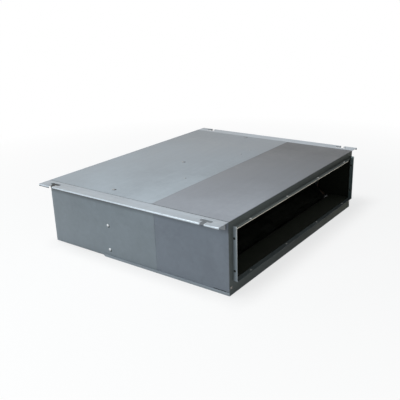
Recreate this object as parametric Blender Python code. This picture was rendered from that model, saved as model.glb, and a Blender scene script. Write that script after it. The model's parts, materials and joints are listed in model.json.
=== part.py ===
"""Slim ducted air conditioner, the indoor unit that hangs above a ceiling.

A flat galvanised casing holds two twin-inlet blowers on one motor, and a slanted coil over a
drain pan. Air comes in at the back (+Y) through a filter that slides out to the right (+X),
and leaves through the flanged outlet in the front (-Y). Rails along the top edges have slots
for four threaded rods. Pipes, drains and the electrical box are on the right-hand side.

The origin is the middle of the casing's underside, +Z is up, and all sizes are in metres.
"""

import math

import bmesh
import bpy
from mathutils import Vector

MM = 0.001

# Casing
CASE_WIDTH = 746 * MM
CASE_DEPTH = 642 * MM
CASE_HEIGHT = 200 * MM
SHEET = 1.0 * MM
FIT = 0.3 * MM
BEND = 0.5 * MM
FRONT_SECTION = 243 * MM
FLANGE = 12 * MM
REAR_FLOOR = 4 * MM
TRAY_PAST_DECK = 33 * MM
TRAY_LIP = 9 * MM
SEAM_LAP = 10 * MM
SEAM_FOOT = 6 * MM
SIDE_SEAM_AHEAD = 6.5 * MM
SIDE_NOTCH = (4 * MM, 50 * MM)
SIDE_NOTCH_HEIGHT = 1.8 * MM

# Hanger rails
RAIL_WIDTH = 42 * MM
RAIL_LIP = 6.5 * MM
RAIL_LEG = 24 * MM
RAIL_LEG_SETBACK = 7 * MM
RAIL_LEG_CORNER = 8 * MM
HANGER_FROM_END = 50 * MM
HANGER_SLOT_LENGTH = 36 * MM
HANGER_SLOT_WIDTH = 12 * MM
HANGER_SLOT_CORNER = 4 * MM
HANGER_MOUTH = 13 * MM

# Air outlet with its duct collar, and the return-air opening
OUTLET_LEFT = 17 * MM
OUTLET_RIGHT = 13 * MM
OUTLET_SILL = 38 * MM
OUTLET_BELOW_TOP = 20.5 * MM
COLLAR_DEPTH = 14 * MM
COLLAR_SIDE_DEPTH = 12.5 * MM
COLLAR_EAR = 4.5 * MM
COLLAR_HOLE = 3 * MM
COLLAR_HOLE_FROM_EDGE = 9 * MM
COLLAR_HOLE_LEFT = 73 * MM
COLLAR_HOLE_RIGHT = 64 * MM
COLLAR_HOLES_ACROSS = 4
COLLAR_SIDE_HOLE = 27 * MM
COLLAR_CHAMFER = (50 * MM, 11 * MM)
RETURN_SIDE = 28 * MM
RETURN_EDGE = 21 * MM

# Filter
FILTER_THICKNESS = 10.9 * MM
FILTER_BORDER = 16 * MM
FILTER_RIB = 3 * MM
FILTER_RIB_DEPTH = 6 * MM
FILTER_CLOTH = 0.8 * MM
FILTER_COLUMNS = 9
FILTER_ROWS = 2
FILTER_TAB = (12 * MM, 5 * MM, 60 * MM)
CHANNEL_LEG = 13 * MM

# Blowers and motor
HOUSING_REAR_SPACE = 26 * MM
HOUSING_TOP_SPACE = 15 * MM
HOUSING_FLOOR_SPACE = 4.4 * MM
HOUSING_NECK = 47.5 * MM
HOUSING_WALL = 2 * MM
HOUSING_RIM = 6 * MM
SCROLL_GAP = 5 * MM
SCROLL_GROWTH = 22 * MM
SCROLL_STEPS = 16
TONGUE_ANGLE = math.radians(25)
WHEEL_WIDTH = 160 * MM
WHEEL_END_GAP = 6 * MM
WHEEL_RING = 3 * MM
BLADE_COUNT = 20
BLADE_CHORD = 12 * MM
BLADE_THICKNESS = 1.5 * MM
BLADE_LEAN = math.radians(8)
BLADE_PHASE = 0.25
HUB_RADIUS = 13 * MM
HUB_LENGTH = 34 * MM
HUB_WEB = 2.4 * MM
BELL_DEPTH = 7 * MM
BELL_FLARE = 6 * MM
BELL_WALL = 1.8 * MM
BELL_OVER_EYE = 3 * MM
BELL_STEPS = 22
SHAFT_RADIUS = 6 * MM
SHAFT_END = 9 * MM
MOTOR_RADIUS = 47 * MM
MOTOR_LENGTH = 76 * MM
MOTOR_TAPER = 7 * MM
MOTOR_SEAM = 3 * MM
MOTOR_TO_HOUSING = 50 * MM
BOSS_RADIUS = 20 * MM
BOSS_LENGTH = 12 * MM
BEARING_RADIUS = 12 * MM
BEARING_LENGTH = 7 * MM
MOUNT_WALL = 9 * MM
MOUNT_WIDTH = 9 * MM
CRADLE_WALL = 9 * MM
STRAP = 2 * MM
STRAP_EAR = 10 * MM
BRACKET_PLATE = 2 * MM
DECK_FLANGE = 15 * MM

# Coil and drain pan
COIL_ANGLE = math.radians(28)
COIL_FROM_FRONT = 84 * MM
COIL_FOOT = 18 * MM
COIL_HEADROOM = 14 * MM
COIL_LEFT = 36 * MM
COIL_RIGHT = 74 * MM
TUBE_PITCH = 22 * MM
ROW_PITCH = 18.2 * MM
TUBE_RADIUS = 3.6 * MM
FIN_COUNT = 24
FIN_DEPTH = 4 * MM
END_PLATE = 1.2 * MM
END_PLATE_BORDER = 3 * MM
PAN_FROM_FRONT = 56 * MM
PAN_BELOW_SILL = 1.5 * MM
PAN_WALL = 12 * MM
PAN_FLOOR = 9.4 * MM
PAN_FALL = 5 * MM
PAN_BEHIND_COIL = 16 * MM
DRAIN_RADIUS = 12.5 * MM
DRAIN_WALL = 2.2 * MM
DRAIN_LENGTH = 34 * MM
DRAINS_FROM_FRONT = (78 * MM, 212 * MM)
PLUG_WALL = 2 * MM
PLUG_LENGTH = 20 * MM
LINING = 8 * MM

# Refrigerant pipes
GAS_RADIUS = 6.35 * MM
LIQUID_RADIUS = 3.2 * MM
GAS_FROM_FRONT = 170 * MM
LIQUID_FROM_FRONT = 132 * MM
PIPE_STUB = 46 * MM
PIPE_WALL = 0.9 * MM
HEADER_RADIUS = 7 * MM
HEADER_OFF = 30 * MM
WINDOW_MARGIN = 20 * MM
PLATE_OVERLAP = 10 * MM
NUT_LENGTH = 20 * MM
NUT_WALL = 5.5 * MM

# Electrical box
BOX_FROM_REAR = 57 * MM
BOX_FROM_PIPE_PLATE = 85 * MM
BOX_LOW = 24 * MM
BOX_UNDER_RAIL = 4 * MM
BOX_DEPTH = 76 * MM
COVER_RETURN = 14 * MM
BOARD_LENGTH_SHARE = 0.5
BOARD_HEIGHT = 96 * MM
BOARD_THICKNESS = 1.6 * MM
BOARD_STANDOFF = 10 * MM
BOARD_FROM_END = 18 * MM
STANDOFF_SIDE = 8 * MM
# Each part on the board: its near corner and its length and height as shares of the board, and how
# far it stands out.
BOARD_PARTS = (
    (0.08, 0.1, 0.24, 0.34, 22 * MM),
    (0.08, 0.56, 0.14, 0.3, 16 * MM),
    (0.28, 0.56, 0.14, 0.3, 16 * MM),
    (0.5, 0.2, 0.2, 0.22, 4 * MM),
    (0.5, 0.66, 0.4, 0.16, 10 * MM),
    (0.78, 0.1, 0.14, 0.4, 14 * MM),
)
TERMINAL_LENGTH_SHARE = 0.23
TERMINAL_DEPTH = 26 * MM
TERMINAL_HEIGHT = 18 * MM
TERMINAL_ABOVE_CAPACITOR = 12 * MM
TERMINAL_WAYS = 6
TERMINAL_SLOT_DEPTH = 10 * MM
TERMINAL_SLOT_SHARE = 0.72
CAPACITOR_RADIUS = 16 * MM
CAPACITOR_LENGTH = 52 * MM
GROMMET_HOLE = 9 * MM
GROMMET_BORE = 6 * MM
GROMMET_RIM = 2.5 * MM

# Places worked out from the sizes above
LEFT = -CASE_WIDTH / 2
RIGHT = CASE_WIDTH / 2
FRONT = -CASE_DEPTH / 2
REAR = CASE_DEPTH / 2
SKIN = SHEET + FIT
INNER = 2 * SKIN
SEAM = FRONT + FRONT_SECTION
PANEL_TOP = CASE_HEIGHT - SKIN
CEILING = CASE_HEIGHT - INNER - LINING
REAR_SKIN = REAR_FLOOR + SHEET + FIT
OUTLET_HEAD = CASE_HEIGHT - OUTLET_BELOW_TOP
OUTLET_X = (LEFT + OUTLET_LEFT, RIGHT - OUTLET_RIGHT)

CHANNEL_DEPTH = FILTER_THICKNESS + 2 * FIT + 2 * SHEET
CHANNEL_BACK = REAR - SKIN
CHANNEL_FRONT = CHANNEL_BACK - CHANNEL_DEPTH
FILTER_Y = (CHANNEL_FRONT + SKIN, CHANNEL_BACK - SKIN)
FILTER_Z = (REAR_SKIN + SKIN, PANEL_TOP - SKIN)

SCROLL_SWEEP = math.pi * 1.5 + TONGUE_ANGLE
BOTTOM_SHARE = (math.pi / 2 + TONGUE_ANGLE) / SCROLL_SWEEP
REAR_SHARE = (math.pi + TONGUE_ANGLE) / SCROLL_SWEEP
HOUSING_LOW = REAR_FLOOR + SHEET + HOUSING_FLOOR_SPACE
HOUSING_HIGH = CASE_HEIGHT - SHEET - HOUSING_TOP_SPACE
SCROLL_RADIUS = (
    HOUSING_HIGH - HOUSING_LOW - 2 * HOUSING_WALL - SCROLL_GROWTH * (1 + BOTTOM_SHARE)
) / 2
WHEEL_RADIUS = SCROLL_RADIUS - SCROLL_GAP
EYE_RADIUS = WHEEL_RADIUS - BLADE_CHORD
BELL_THROAT = EYE_RADIUS + BELL_OVER_EYE
HOUSING_WIDTH = WHEEL_WIDTH + 2 * WHEEL_END_GAP + 2 * HOUSING_WALL
SHAFT_Z = HOUSING_LOW + HOUSING_WALL + SCROLL_RADIUS + SCROLL_GROWTH * BOTTOM_SHARE
SHAFT_Y = CHANNEL_FRONT - HOUSING_REAR_SPACE - (
    SCROLL_RADIUS + SCROLL_GROWTH * REAR_SHARE + HOUSING_WALL
)
NECK_END = -SCROLL_RADIUS * math.cos(TONGUE_ANGLE) - HOUSING_NECK
DECK = SHAFT_Y + NECK_END - SKIN
TRAY_END = DECK + TRAY_PAST_DECK
BLOWER_X = MOTOR_LENGTH / 2 + BOSS_LENGTH + MOTOR_TO_HOUSING + HOUSING_WIDTH / 2

COIL_THICKNESS = 2 * ROW_PITCH
COIL_TOE = FRONT + COIL_FROM_FRONT
COIL_X = (LEFT + COIL_LEFT, RIGHT - COIL_RIGHT)
HEIGHT_FOR_TUBES = (
    CEILING - COIL_HEADROOM - COIL_FOOT - COIL_THICKNESS * math.cos(COIL_ANGLE)
)
DEPTH_FOR_TUBES = DECK - DECK_FLANGE - PAN_WALL - PAN_BEHIND_COIL - COIL_TOE
TUBE_ROWS = int(
    min(
        HEIGHT_FOR_TUBES / math.sin(COIL_ANGLE),
        DEPTH_FOR_TUBES / math.cos(COIL_ANGLE),
    )
    / TUBE_PITCH
)
COIL_LENGTH = TUBE_ROWS * TUBE_PITCH
COIL_HEEL = COIL_TOE + COIL_LENGTH * math.cos(COIL_ANGLE)
PAN_Y = (FRONT + PAN_FROM_FRONT, COIL_HEEL + PAN_BEHIND_COIL + PAN_WALL)
PAN_X = (LEFT + INNER, RIGHT - INNER)
PAN_TOP = OUTLET_SILL - PAN_BELOW_SILL
PAN_LOW = INNER + PAN_FLOOR
DRAIN_BORE = DRAIN_RADIUS - DRAIN_WALL
DRAIN_Z = PAN_LOW + DRAIN_BORE

PIPE_PLATE_END = FRONT + GAS_FROM_FRONT + WINDOW_MARGIN + PLATE_OVERLAP
BOX_Y = (PIPE_PLATE_END + BOX_FROM_PIPE_PLATE, REAR - BOX_FROM_REAR)
BOX_LENGTH = BOX_Y[1] - BOX_Y[0]
BOX_Z = (BOX_LOW, CASE_HEIGHT - RAIL_LEG - BOX_UNDER_RAIL)
BOX_X = (RIGHT + FIT, RIGHT + FIT + BOX_DEPTH)


# Shapes
def place(axis, along, u, v):
    """A point from its distance along an axis and its other two coordinates, in order."""
    return {"x": (along, u, v), "y": (u, along, v), "z": (u, v, along)}[axis]


def outward(bm):
    bmesh.ops.recalc_face_normals(bm, faces=bm.faces)
    return bm


def prism(outline, axis, start, end):
    """A closed outline pushed along an axis."""
    bm = bmesh.new()
    near = [bm.verts.new(place(axis, start, u, v)) for u, v in outline]
    far = [bm.verts.new(place(axis, end, u, v)) for u, v in outline]
    bm.faces.new(near)
    bm.faces.new(far[::-1])
    for i in range(len(outline)):
        bm.faces.new((near[i - 1], near[i], far[i], far[i - 1]))
    return outward(bm)


def block(x, y, z):
    """A box from its range on each axis."""
    return prism([(x[0], y[0]), (x[1], y[0]), (x[1], y[1]), (x[0], y[1])], "z", *z)


def turned(profile, centre, axis="x", steps=32):
    """A loop of (along, radius) points turned about an axis through centre."""
    bm = bmesh.new()
    rings = []
    for along, radius in profile:
        ring = []
        for k in range(steps if radius else 1):
            angle = 2 * math.pi * k / steps
            around = place(axis, along, radius * math.cos(angle), radius * math.sin(angle))
            ring.append(bm.verts.new(Vector(centre) + Vector(around)))
        rings.append(ring * (1 if radius else steps))
    for ring, after in zip(rings, rings[1:] + rings[:1]):
        for k in range(steps):
            corners = list(dict.fromkeys((ring[k - 1], ring[k], after[k], after[k - 1])))
            if len(corners) > 2:
                bm.faces.new(corners)
    return outward(bm)


def rod(radius, start, end, centre, axis="x", steps=24):
    """A plain cylinder."""
    return turned([(start, 0), (start, radius), (end, radius), (end, 0)], centre, axis, steps)


def collar(inner, outer, start, end, centre, axis="x", steps=32):
    """A plain ring or sleeve."""
    loop = [(start, inner), (end, inner), (end, outer), (start, outer)]
    return turned(loop, centre, axis, steps)


def tube(points, radius, sides=8):
    """A solid round bar swept along points, square to the path at each one."""
    bm = bmesh.new()
    path = [Vector(p) for p in points]
    rings = []
    side = (path[1] - path[0]).orthogonal().normalized()
    for i, point in enumerate(path):
        ahead = (path[min(i + 1, len(path) - 1)] - path[max(i - 1, 0)]).normalized()
        side = (side - ahead * side.dot(ahead)).normalized()
        up = ahead.cross(side)
        ring = []
        for k in range(sides):
            angle = 2 * math.pi * k / sides
            around = side * math.cos(angle) + up * math.sin(angle)
            ring.append(bm.verts.new(point + around * radius))
        rings.append(ring)
    for ring, after in zip(rings, rings[1:]):
        for k in range(sides):
            bm.faces.new((ring[k - 1], ring[k], after[k], after[k - 1]))
    bm.faces.new(rings[0])
    bm.faces.new(rings[-1])
    return outward(bm)


def rounded(path, radius, steps=3):
    """An open path with its corners turned into arcs."""
    points = [Vector(p) for p in path]
    result = [points[0]]
    for before, corner, after in zip(points, points[1:], points[2:]):
        back = (before - corner).normalized()
        on = (after - corner).normalized()
        half = back.angle(on) / 2
        centre = corner + (back + on).normalized() * (radius / math.sin(half))
        start = corner + back * (radius / math.tan(half)) - centre
        end = corner + on * (radius / math.tan(half)) - centre
        for i in range(steps + 1):
            share = i / steps
            result.append(centre + (start * (1 - share) + end * share).normalized() * radius)
    return result + [points[-1]]


def bent_sheet(path, thickness, radius=BEND + SHEET):
    """The outline of a sheet bent along a path, on the path's left where thickness is positive."""
    outer = rounded(path, radius)
    inner = []
    for i, point in enumerate(outer):
        before = (point - outer[i - 1]).normalized() if i else None
        after = (outer[i + 1] - point).normalized() if i + 1 < len(outer) else None
        first, second = before or after, after or before
        middle = (first + second).normalized()
        square = Vector((-middle.y, middle.x))
        inner.append(point + square * thickness / middle.dot(first))
    return [tuple(p) for p in outer + inner[::-1]]


# Objects
def clear_scene():
    for old in list(bpy.data.objects):
        bpy.data.objects.remove(old, do_unlink=True)


def finish(name, colour, roughness, metallic=0.0):
    material = bpy.data.materials.get(name) or bpy.data.materials.new(name)
    material.use_nodes = True
    shader = material.node_tree.nodes["Principled BSDF"]
    shader.inputs["Base Color"].default_value = (*colour, 1)
    shader.inputs["Roughness"].default_value = roughness
    shader.inputs["Metallic"].default_value = metallic
    material.diffuse_color = (*colour, 1)
    return material


def galvanised():
    return finish("galvanised_steel", (0.34, 0.37, 0.4), 0.45, 0.7)


def bright_steel():
    return finish("bright_steel", (0.6, 0.66, 0.72), 0.35, 0.8)


def black_foam():
    return finish("black_foam", (0.012, 0.012, 0.012), 0.95)


def dark_plastic():
    return finish("dark_plastic", (0.03, 0.032, 0.035), 0.5)


def rubber():
    return finish("rubber", (0.015, 0.015, 0.015), 0.85)


def copper():
    return finish("copper", (0.72, 0.32, 0.18), 0.3, 1.0)


def brass():
    return finish("brass", (0.72, 0.52, 0.2), 0.3, 1.0)


def aluminium():
    return finish("aluminium_fins", (0.5, 0.52, 0.54), 0.4, 0.9)


def green_board():
    return finish("circuit_board", (0.02, 0.16, 0.06), 0.5)


def filter_cloth():
    return finish("filter_cloth", (0.1, 0.1, 0.11), 0.9)


def add_object(name, bm, carrier):
    mesh = bpy.data.meshes.new(name)
    bm.to_mesh(mesh)
    bm.free()
    obj = bpy.data.objects.new(name, mesh)
    bpy.context.scene.collection.objects.link(obj)
    obj.parent = carrier
    return obj


def piece(name, bm, material, carrier, smooth=False):
    """One named part of the unit."""
    obj = add_object(name, bm, carrier)
    obj.data.materials.append(material)
    if smooth:
        obj.data.shade_smooth()
        obj.data.set_sharp_from_angle(angle=math.radians(40))
    return obj


def boolean(obj, operation, shapes):
    for bm in shapes:
        helper = add_object("shape_in_" + obj.name, bm, obj.parent)
        helper.hide_render = True
        helper.display_type = "WIRE"
        modifier = obj.modifiers.new(operation.title(), "BOOLEAN")
        modifier.operation = operation
        modifier.object = helper
    return obj


def cut(obj, *shapes):
    return boolean(obj, "DIFFERENCE", shapes)


def join(obj, *shapes):
    return boolean(obj, "UNION", shapes)


def frozen(obj):
    """The object with its Booleans made plain mesh, so that a copy can share it."""
    graph = bpy.context.evaluated_depsgraph_get()
    mesh = bpy.data.meshes.new_from_object(obj.evaluated_get(graph))
    helpers = [modifier.object for modifier in obj.modifiers]
    obj.modifiers.clear()
    obj.data = mesh
    for helper in helpers:
        bpy.data.objects.remove(helper, do_unlink=True)
    return obj


def copy_at(obj, name, location):
    twin = bpy.data.objects.new(name, obj.data)
    bpy.context.scene.collection.objects.link(twin)
    twin.parent = obj.parent
    twin.location = location
    return twin


def empty(name, location, carrier=None):
    marker = bpy.data.objects.new(name, None)
    bpy.context.scene.collection.objects.link(marker)
    marker.location = location
    marker.parent = carrier
    return marker


# Casing
def hanger_rail(name, side, carrier):
    """A Z-shaped rail: leg on the casing's side, flange level with the top, lip turned down."""
    inner = side * (CASE_WIDTH / 2 + FIT)
    outer = side * (CASE_WIDTH / 2 + RAIL_WIDTH)
    leg_foot = CASE_HEIGHT - RAIL_LEG
    path = [
        (inner, leg_foot),
        (inner, CASE_HEIGHT),
        (outer, CASE_HEIGHT),
        (outer, CASE_HEIGHT - RAIL_LIP),
    ]
    section = bent_sheet(path, -side * SHEET)
    rail = piece(name, prism(section, "y", FRONT, REAR), bright_steel(), carrier)

    leg_start = FRONT + RAIL_LEG_SETBACK
    corner = rounded(
        [
            (leg_start, PANEL_TOP - SHEET),
            (leg_start, leg_foot),
            (leg_start + 2 * RAIL_LEG_CORNER, leg_foot),
        ],
        RAIL_LEG_CORNER,
    )
    away = [
        (leg_start + 2 * RAIL_LEG_CORNER, leg_foot - SHEET),
        (FRONT - SHEET, leg_foot - SHEET),
        (FRONT - SHEET, PANEL_TOP - SHEET),
    ]
    leg_x = (side * (CASE_WIDTH / 2 - SHEET), side * (CASE_WIDTH / 2 + INNER))
    cut(rail, prism([tuple(p) for p in corner] + away, "x", *leg_x))

    slot_x = side * (CASE_WIDTH / 2 + RAIL_WIDTH / 2)
    for end, toward in ((FRONT, 1), (REAR, -1)):
        middle = end + toward * HANGER_FROM_END
        half = HANGER_SLOT_LENGTH / 2
        slot = block(
            (slot_x - HANGER_SLOT_WIDTH / 2, slot_x + HANGER_SLOT_WIDTH / 2),
            (middle - half, middle + half),
            (CASE_HEIGHT - 2 * SHEET, CASE_HEIGHT + SHEET),
        )
        bmesh.ops.bevel(
            slot,
            geom=[e for e in slot.edges if abs(e.verts[0].co.z - e.verts[1].co.z) > SHEET],
            offset=HANGER_SLOT_CORNER,
            segments=3,
            profile=0.5,
            affect="EDGES",
        )
        mouth = block(
            (slot_x, outer + side * SHEET),
            (middle - HANGER_MOUTH / 2, middle + HANGER_MOUTH / 2),
            (CASE_HEIGHT - RAIL_LIP - SHEET, CASE_HEIGHT + SHEET),
        )
        cut(rail, slot, outward(mouth))
    return rail


def hanger_rails(carrier):
    hanger_rail("left_hanger_rail", -1, carrier)
    right = hanger_rail("right_hanger_rail", 1, carrier)
    filter_way = block(
        (RIGHT - SHEET, RIGHT + RAIL_WIDTH + SHEET),
        (CHANNEL_FRONT - FIT, REAR + SHEET),
        (CASE_HEIGHT - RAIL_LEG - SHEET, CASE_HEIGHT - SHEET),
    )
    cut(right, filter_way)


def seam_strip():
    """The joint strip welded behind a seam, as (along, depth) from the seam's outer edge."""
    deep = SKIN + SHEET
    return [
        (-SEAM_LAP, SKIN),
        (-SEAM_LAP, deep),
        (SEAM_FOOT, deep),
        (SEAM_FOOT, SHEET / 2),
        (SEAM_FOOT / 2, SHEET / 2),
        (SEAM_FOOT / 2, SKIN),
    ]


def top_panels(carrier):
    top = (CASE_HEIGHT - SHEET, CASE_HEIGHT)
    front = block((LEFT, RIGHT), (FRONT, SEAM - FIT / 2), top)
    piece("front_top_panel", front, galvanised(), carrier)
    rear = block((LEFT, RIGHT), (SEAM + FIT / 2, REAR), top)
    rear = piece("rear_top_panel", rear, galvanised(), carrier)
    strip = [(SEAM + along, CASE_HEIGHT - depth) for along, depth in seam_strip()]
    inset = FLANGE + SKIN
    join(rear, prism(strip, "x", LEFT + inset, RIGHT - inset))


def side_panel(name, side, start, end, foot, carrier):
    """A side wall with its top and bottom edges turned in."""
    wall = side * CASE_WIDTH / 2
    edge = wall - side * FLANGE
    path = [(edge, foot), (wall, foot), (wall, PANEL_TOP), (edge, PANEL_TOP)]
    section = bent_sheet(path, side * SHEET)
    return piece(name, prism(section, "y", start, end), galvanised(), carrier)


def side_panels(carrier):
    """Both side walls, whose seam lies a little ahead of the seam on top."""
    seam = SEAM - SIDE_SEAM_AHEAD
    for name, side, wall_end in (("left", -1, REAR - SKIN), ("right", 1, CHANNEL_FRONT - FIT)):
        front = side_panel(
            name + "_front_side", side, FRONT + SKIN, seam - FIT / 2, SKIN, carrier
        )
        rear = side_panel(
            name + "_rear_side", side, seam + FIT / 2, wall_end, REAR_SKIN, carrier
        )
        notch_x = sorted((side * (CASE_WIDTH / 2 - 2 * SHEET), side * (CASE_WIDTH / 2 + SHEET)))
        notch_y = [FRONT + along for along in SIDE_NOTCH]
        cut(front, block(notch_x, notch_y, (TRAY_LIP, TRAY_LIP + SIDE_NOTCH_HEIGHT)))
        behind_wall = sorted(
            (side * (CASE_WIDTH / 2 - SHEET), side * (CASE_WIDTH / 2 - FLANGE - SHEET))
        )
        over_tray = block(
            behind_wall,
            (seam - SHEET, TRAY_END + FIT),
            (REAR_SKIN - SHEET, REAR_SKIN + SHEET + BEND),
        )
        cut(rear, over_tray)
        if wall_end > CHANNEL_FRONT:
            beside_filter = block(
                behind_wall,
                (CHANNEL_FRONT - FIT, wall_end + SHEET),
                (0, CASE_HEIGHT),
            )
            cut(rear, beside_filter)
        strip = [
            (side * (CASE_WIDTH / 2 - depth), seam + along) for along, depth in seam_strip()
        ]
        join(rear, prism(strip, "z", FLANGE, PANEL_TOP - FLANGE))
        if side > 0:
            low, high = pipe_window()
            cut(front, block((RIGHT - SKIN, RIGHT + SHEET), *zip(low, high)))
            for y in drain_places():
                hole = rod(DRAIN_RADIUS + FIT, -SKIN, SHEET, (RIGHT, y, DRAIN_Z), steps=20)
                cut(front, hole)


def collar_hole(x, z, axis):
    centre = (x, FRONT - COLLAR_DEPTH + COLLAR_HOLE_FROM_EDGE, z)
    return rod(COLLAR_HOLE, -2 * SHEET, 2 * SHEET, centre, axis, steps=8)


def outlet_front_panel(carrier):
    """The front sheet, with a duct collar bent out round the air outlet."""
    lip = FRONT + FLANGE
    path = [(lip, SKIN), (FRONT, SKIN), (FRONT, PANEL_TOP), (lip, PANEL_TOP)]
    section = bent_sheet(path, -SHEET)
    panel = prism(section, "x", LEFT, RIGHT)
    panel = piece("outlet_front_panel", panel, galvanised(), carrier)
    behind = (FRONT + SHEET, lip + SHEET)
    for side in (-1, 1):
        wall = side * CASE_WIDTH / 2
        corner_x = sorted((wall + side * SHEET, wall - side * (FLANGE + SKIN)))
        cut(panel, block(corner_x, behind, (0, CASE_HEIGHT)))
        back_x = sorted((wall - side * SKIN, wall - side * (SKIN + SHEET)))
        returned = (FRONT + SHEET / 2, lip)
        join(panel, block(back_x, returned, (INNER, CASE_HEIGHT - INNER)))

    left, right = OUTLET_X
    way = (FRONT - COLLAR_DEPTH - SHEET, FRONT + 2 * SHEET)
    cut(panel, block(OUTLET_X, (FRONT - SHEET, FRONT + 2 * SHEET), (OUTLET_SILL, OUTLET_HEAD)))
    root = FRONT + SHEET / 2
    walls_y = (FRONT - COLLAR_DEPTH, root)
    sill = OUTLET_SILL - SHEET
    head = OUTLET_HEAD + SHEET
    ear = head + COLLAR_EAR - SHEET
    side_y = (FRONT - COLLAR_SIDE_DEPTH, root)
    side_z = (sill, ear)
    join(
        panel,
        block((left - SHEET, left), side_y, side_z),
        block((right, right + SHEET), side_y, side_z),
        block((left - SHEET / 2, right + SHEET / 2), walls_y, (sill, OUTLET_SILL)),
        block((left - SHEET / 2, right + SHEET / 2), walls_y, (OUTLET_HEAD, head)),
    )
    along, back = COLLAR_CHAMFER
    end = right - 2 * SHEET
    wedge = [
        (end - along, way[0]),
        (end - along, walls_y[0]),
        (end, walls_y[0] + back),
        (end + SHEET, walls_y[0] + back),
        (end + SHEET, way[0]),
    ]
    cut(panel, prism(wedge, "z", OUTLET_HEAD - SHEET, head + SHEET))
    span = (right - left - COLLAR_HOLE_LEFT - COLLAR_HOLE_RIGHT) / (COLLAR_HOLES_ACROSS - 1)
    for i in range(COLLAR_HOLES_ACROSS):
        x = left + COLLAR_HOLE_LEFT + i * span
        for z in (OUTLET_SILL, OUTLET_HEAD):
            cut(panel, collar_hole(x, z, "z"))
    for z in (OUTLET_SILL + COLLAR_SIDE_HOLE, OUTLET_HEAD - COLLAR_SIDE_HOLE):
        for x in (left, right):
            cut(panel, collar_hole(x, z, "x"))


def floor_panels(carrier):
    """The front tray, which carries the drain pan, and the panel under the fans."""
    low, high = LEFT - SKIN, RIGHT + SKIN
    path = [(low, TRAY_LIP), (low, 0), (high, 0), (high, TRAY_LIP)]
    tray = prism(bent_sheet(path, SHEET), "y", FRONT, TRAY_END)
    tray = piece("bottom_front_tray", tray, galvanised(), carrier)
    for y in drain_places():
        notch = rod(DRAIN_RADIUS + FIT, 0, 3 * SKIN, (RIGHT, y, DRAIN_Z), steps=20)
        cut(tray, notch)

    flat = block(
        (LEFT, RIGHT),
        (TRAY_END + FIT, REAR),
        (REAR_FLOOR, REAR_FLOOR + SHEET),
    )
    panel = piece("fan_access_panel", flat, galvanised(), carrier)
    step = [
        (TRAY_END - SEAM_LAP, SKIN),
        (TRAY_END + SEAM_FOOT, SKIN),
        (TRAY_END + SEAM_FOOT, REAR_FLOOR + SHEET / 2),
        (TRAY_END + SEAM_FOOT - SHEET, REAR_FLOOR + SHEET / 2),
        (TRAY_END + SEAM_FOOT - SHEET, SKIN + SHEET),
        (TRAY_END - SEAM_LAP, SKIN + SHEET),
    ]
    join(panel, prism(step, "x", LEFT + SKIN, RIGHT - SKIN))


def return_air_frame(carrier):
    plate = block((LEFT, RIGHT), (REAR - SHEET, REAR), (REAR_SKIN, PANEL_TOP))
    plate = piece("return_air_frame", plate, galvanised(), carrier)
    opening = block(
        (LEFT + RETURN_SIDE, RIGHT - RETURN_SIDE),
        (REAR - 2 * SHEET, REAR + SHEET),
        (REAR_SKIN + RETURN_EDGE, PANEL_TOP - RETURN_EDGE),
    )
    cut(plate, opening)


def filter_channels(carrier):
    """Two U channels that the filter runs in."""
    for name, web, toward in (
        ("filter_channel_top", PANEL_TOP, -1),
        ("filter_channel_bottom", REAR_SKIN, 1),
    ):
        tip = web + toward * CHANNEL_LEG
        path = [
            (CHANNEL_FRONT, tip),
            (CHANNEL_FRONT, web),
            (CHANNEL_BACK, web),
            (CHANNEL_BACK, tip),
        ]
        section = bent_sheet(path, toward * SHEET, SHEET + FIT / 2)
        channel = prism(section, "x", LEFT + SKIN, RIGHT)
        piece(name, channel, galvanised(), carrier)


# Blowers
def duct_mouth(grow):
    """The scroll's outlet as (low, high) heights above the shaft, grown by a wall."""
    return (
        SCROLL_RADIUS * math.sin(TONGUE_ANGLE) - grow,
        SCROLL_RADIUS + SCROLL_GROWTH + grow,
    )


def scroll_prism(grow, width, neck_end):
    """The spiral round the wheel with its neck, as a solid about the shaft."""
    low, high = duct_mouth(grow)
    start = math.pi - math.asin(low / (SCROLL_RADIUS + grow))
    tongue = math.pi - TONGUE_ANGLE
    outline = [(neck_end, high), (neck_end, low)]
    for i in range(SCROLL_STEPS + 1):
        angle = start + (tongue + SCROLL_SWEEP - start) * i / SCROLL_STEPS
        share = (angle - tongue) / SCROLL_SWEEP
        radius = SCROLL_RADIUS + SCROLL_GROWTH * share + grow
        outline.append((radius * math.cos(angle), radius * math.sin(angle)))
    return prism(outline, "x", -width / 2, width / 2)


def inlet_bell(side):
    """A flared inlet ring on one cheek of the housing."""
    cheek = side * HOUSING_WIDTH / 2
    steps = 3
    inside = []
    outside = []
    for i in range(steps + 1):
        angle = math.pi / 2 * i / steps
        flare = BELL_FLARE * (1 - math.cos(angle))
        reach = side * BELL_DEPTH * math.sin(angle)
        inside.append((cheek + reach, BELL_THROAT + flare))
        outside.append((cheek + reach, BELL_THROAT + flare + BELL_WALL))
    start = cheek - side * (HOUSING_WALL + WHEEL_END_GAP / 2)
    loop = [(start, BELL_THROAT + BELL_WALL), (start, BELL_THROAT)] + inside + outside[::-1]
    return turned(loop, (0, 0, 0), steps=BELL_STEPS)


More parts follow.
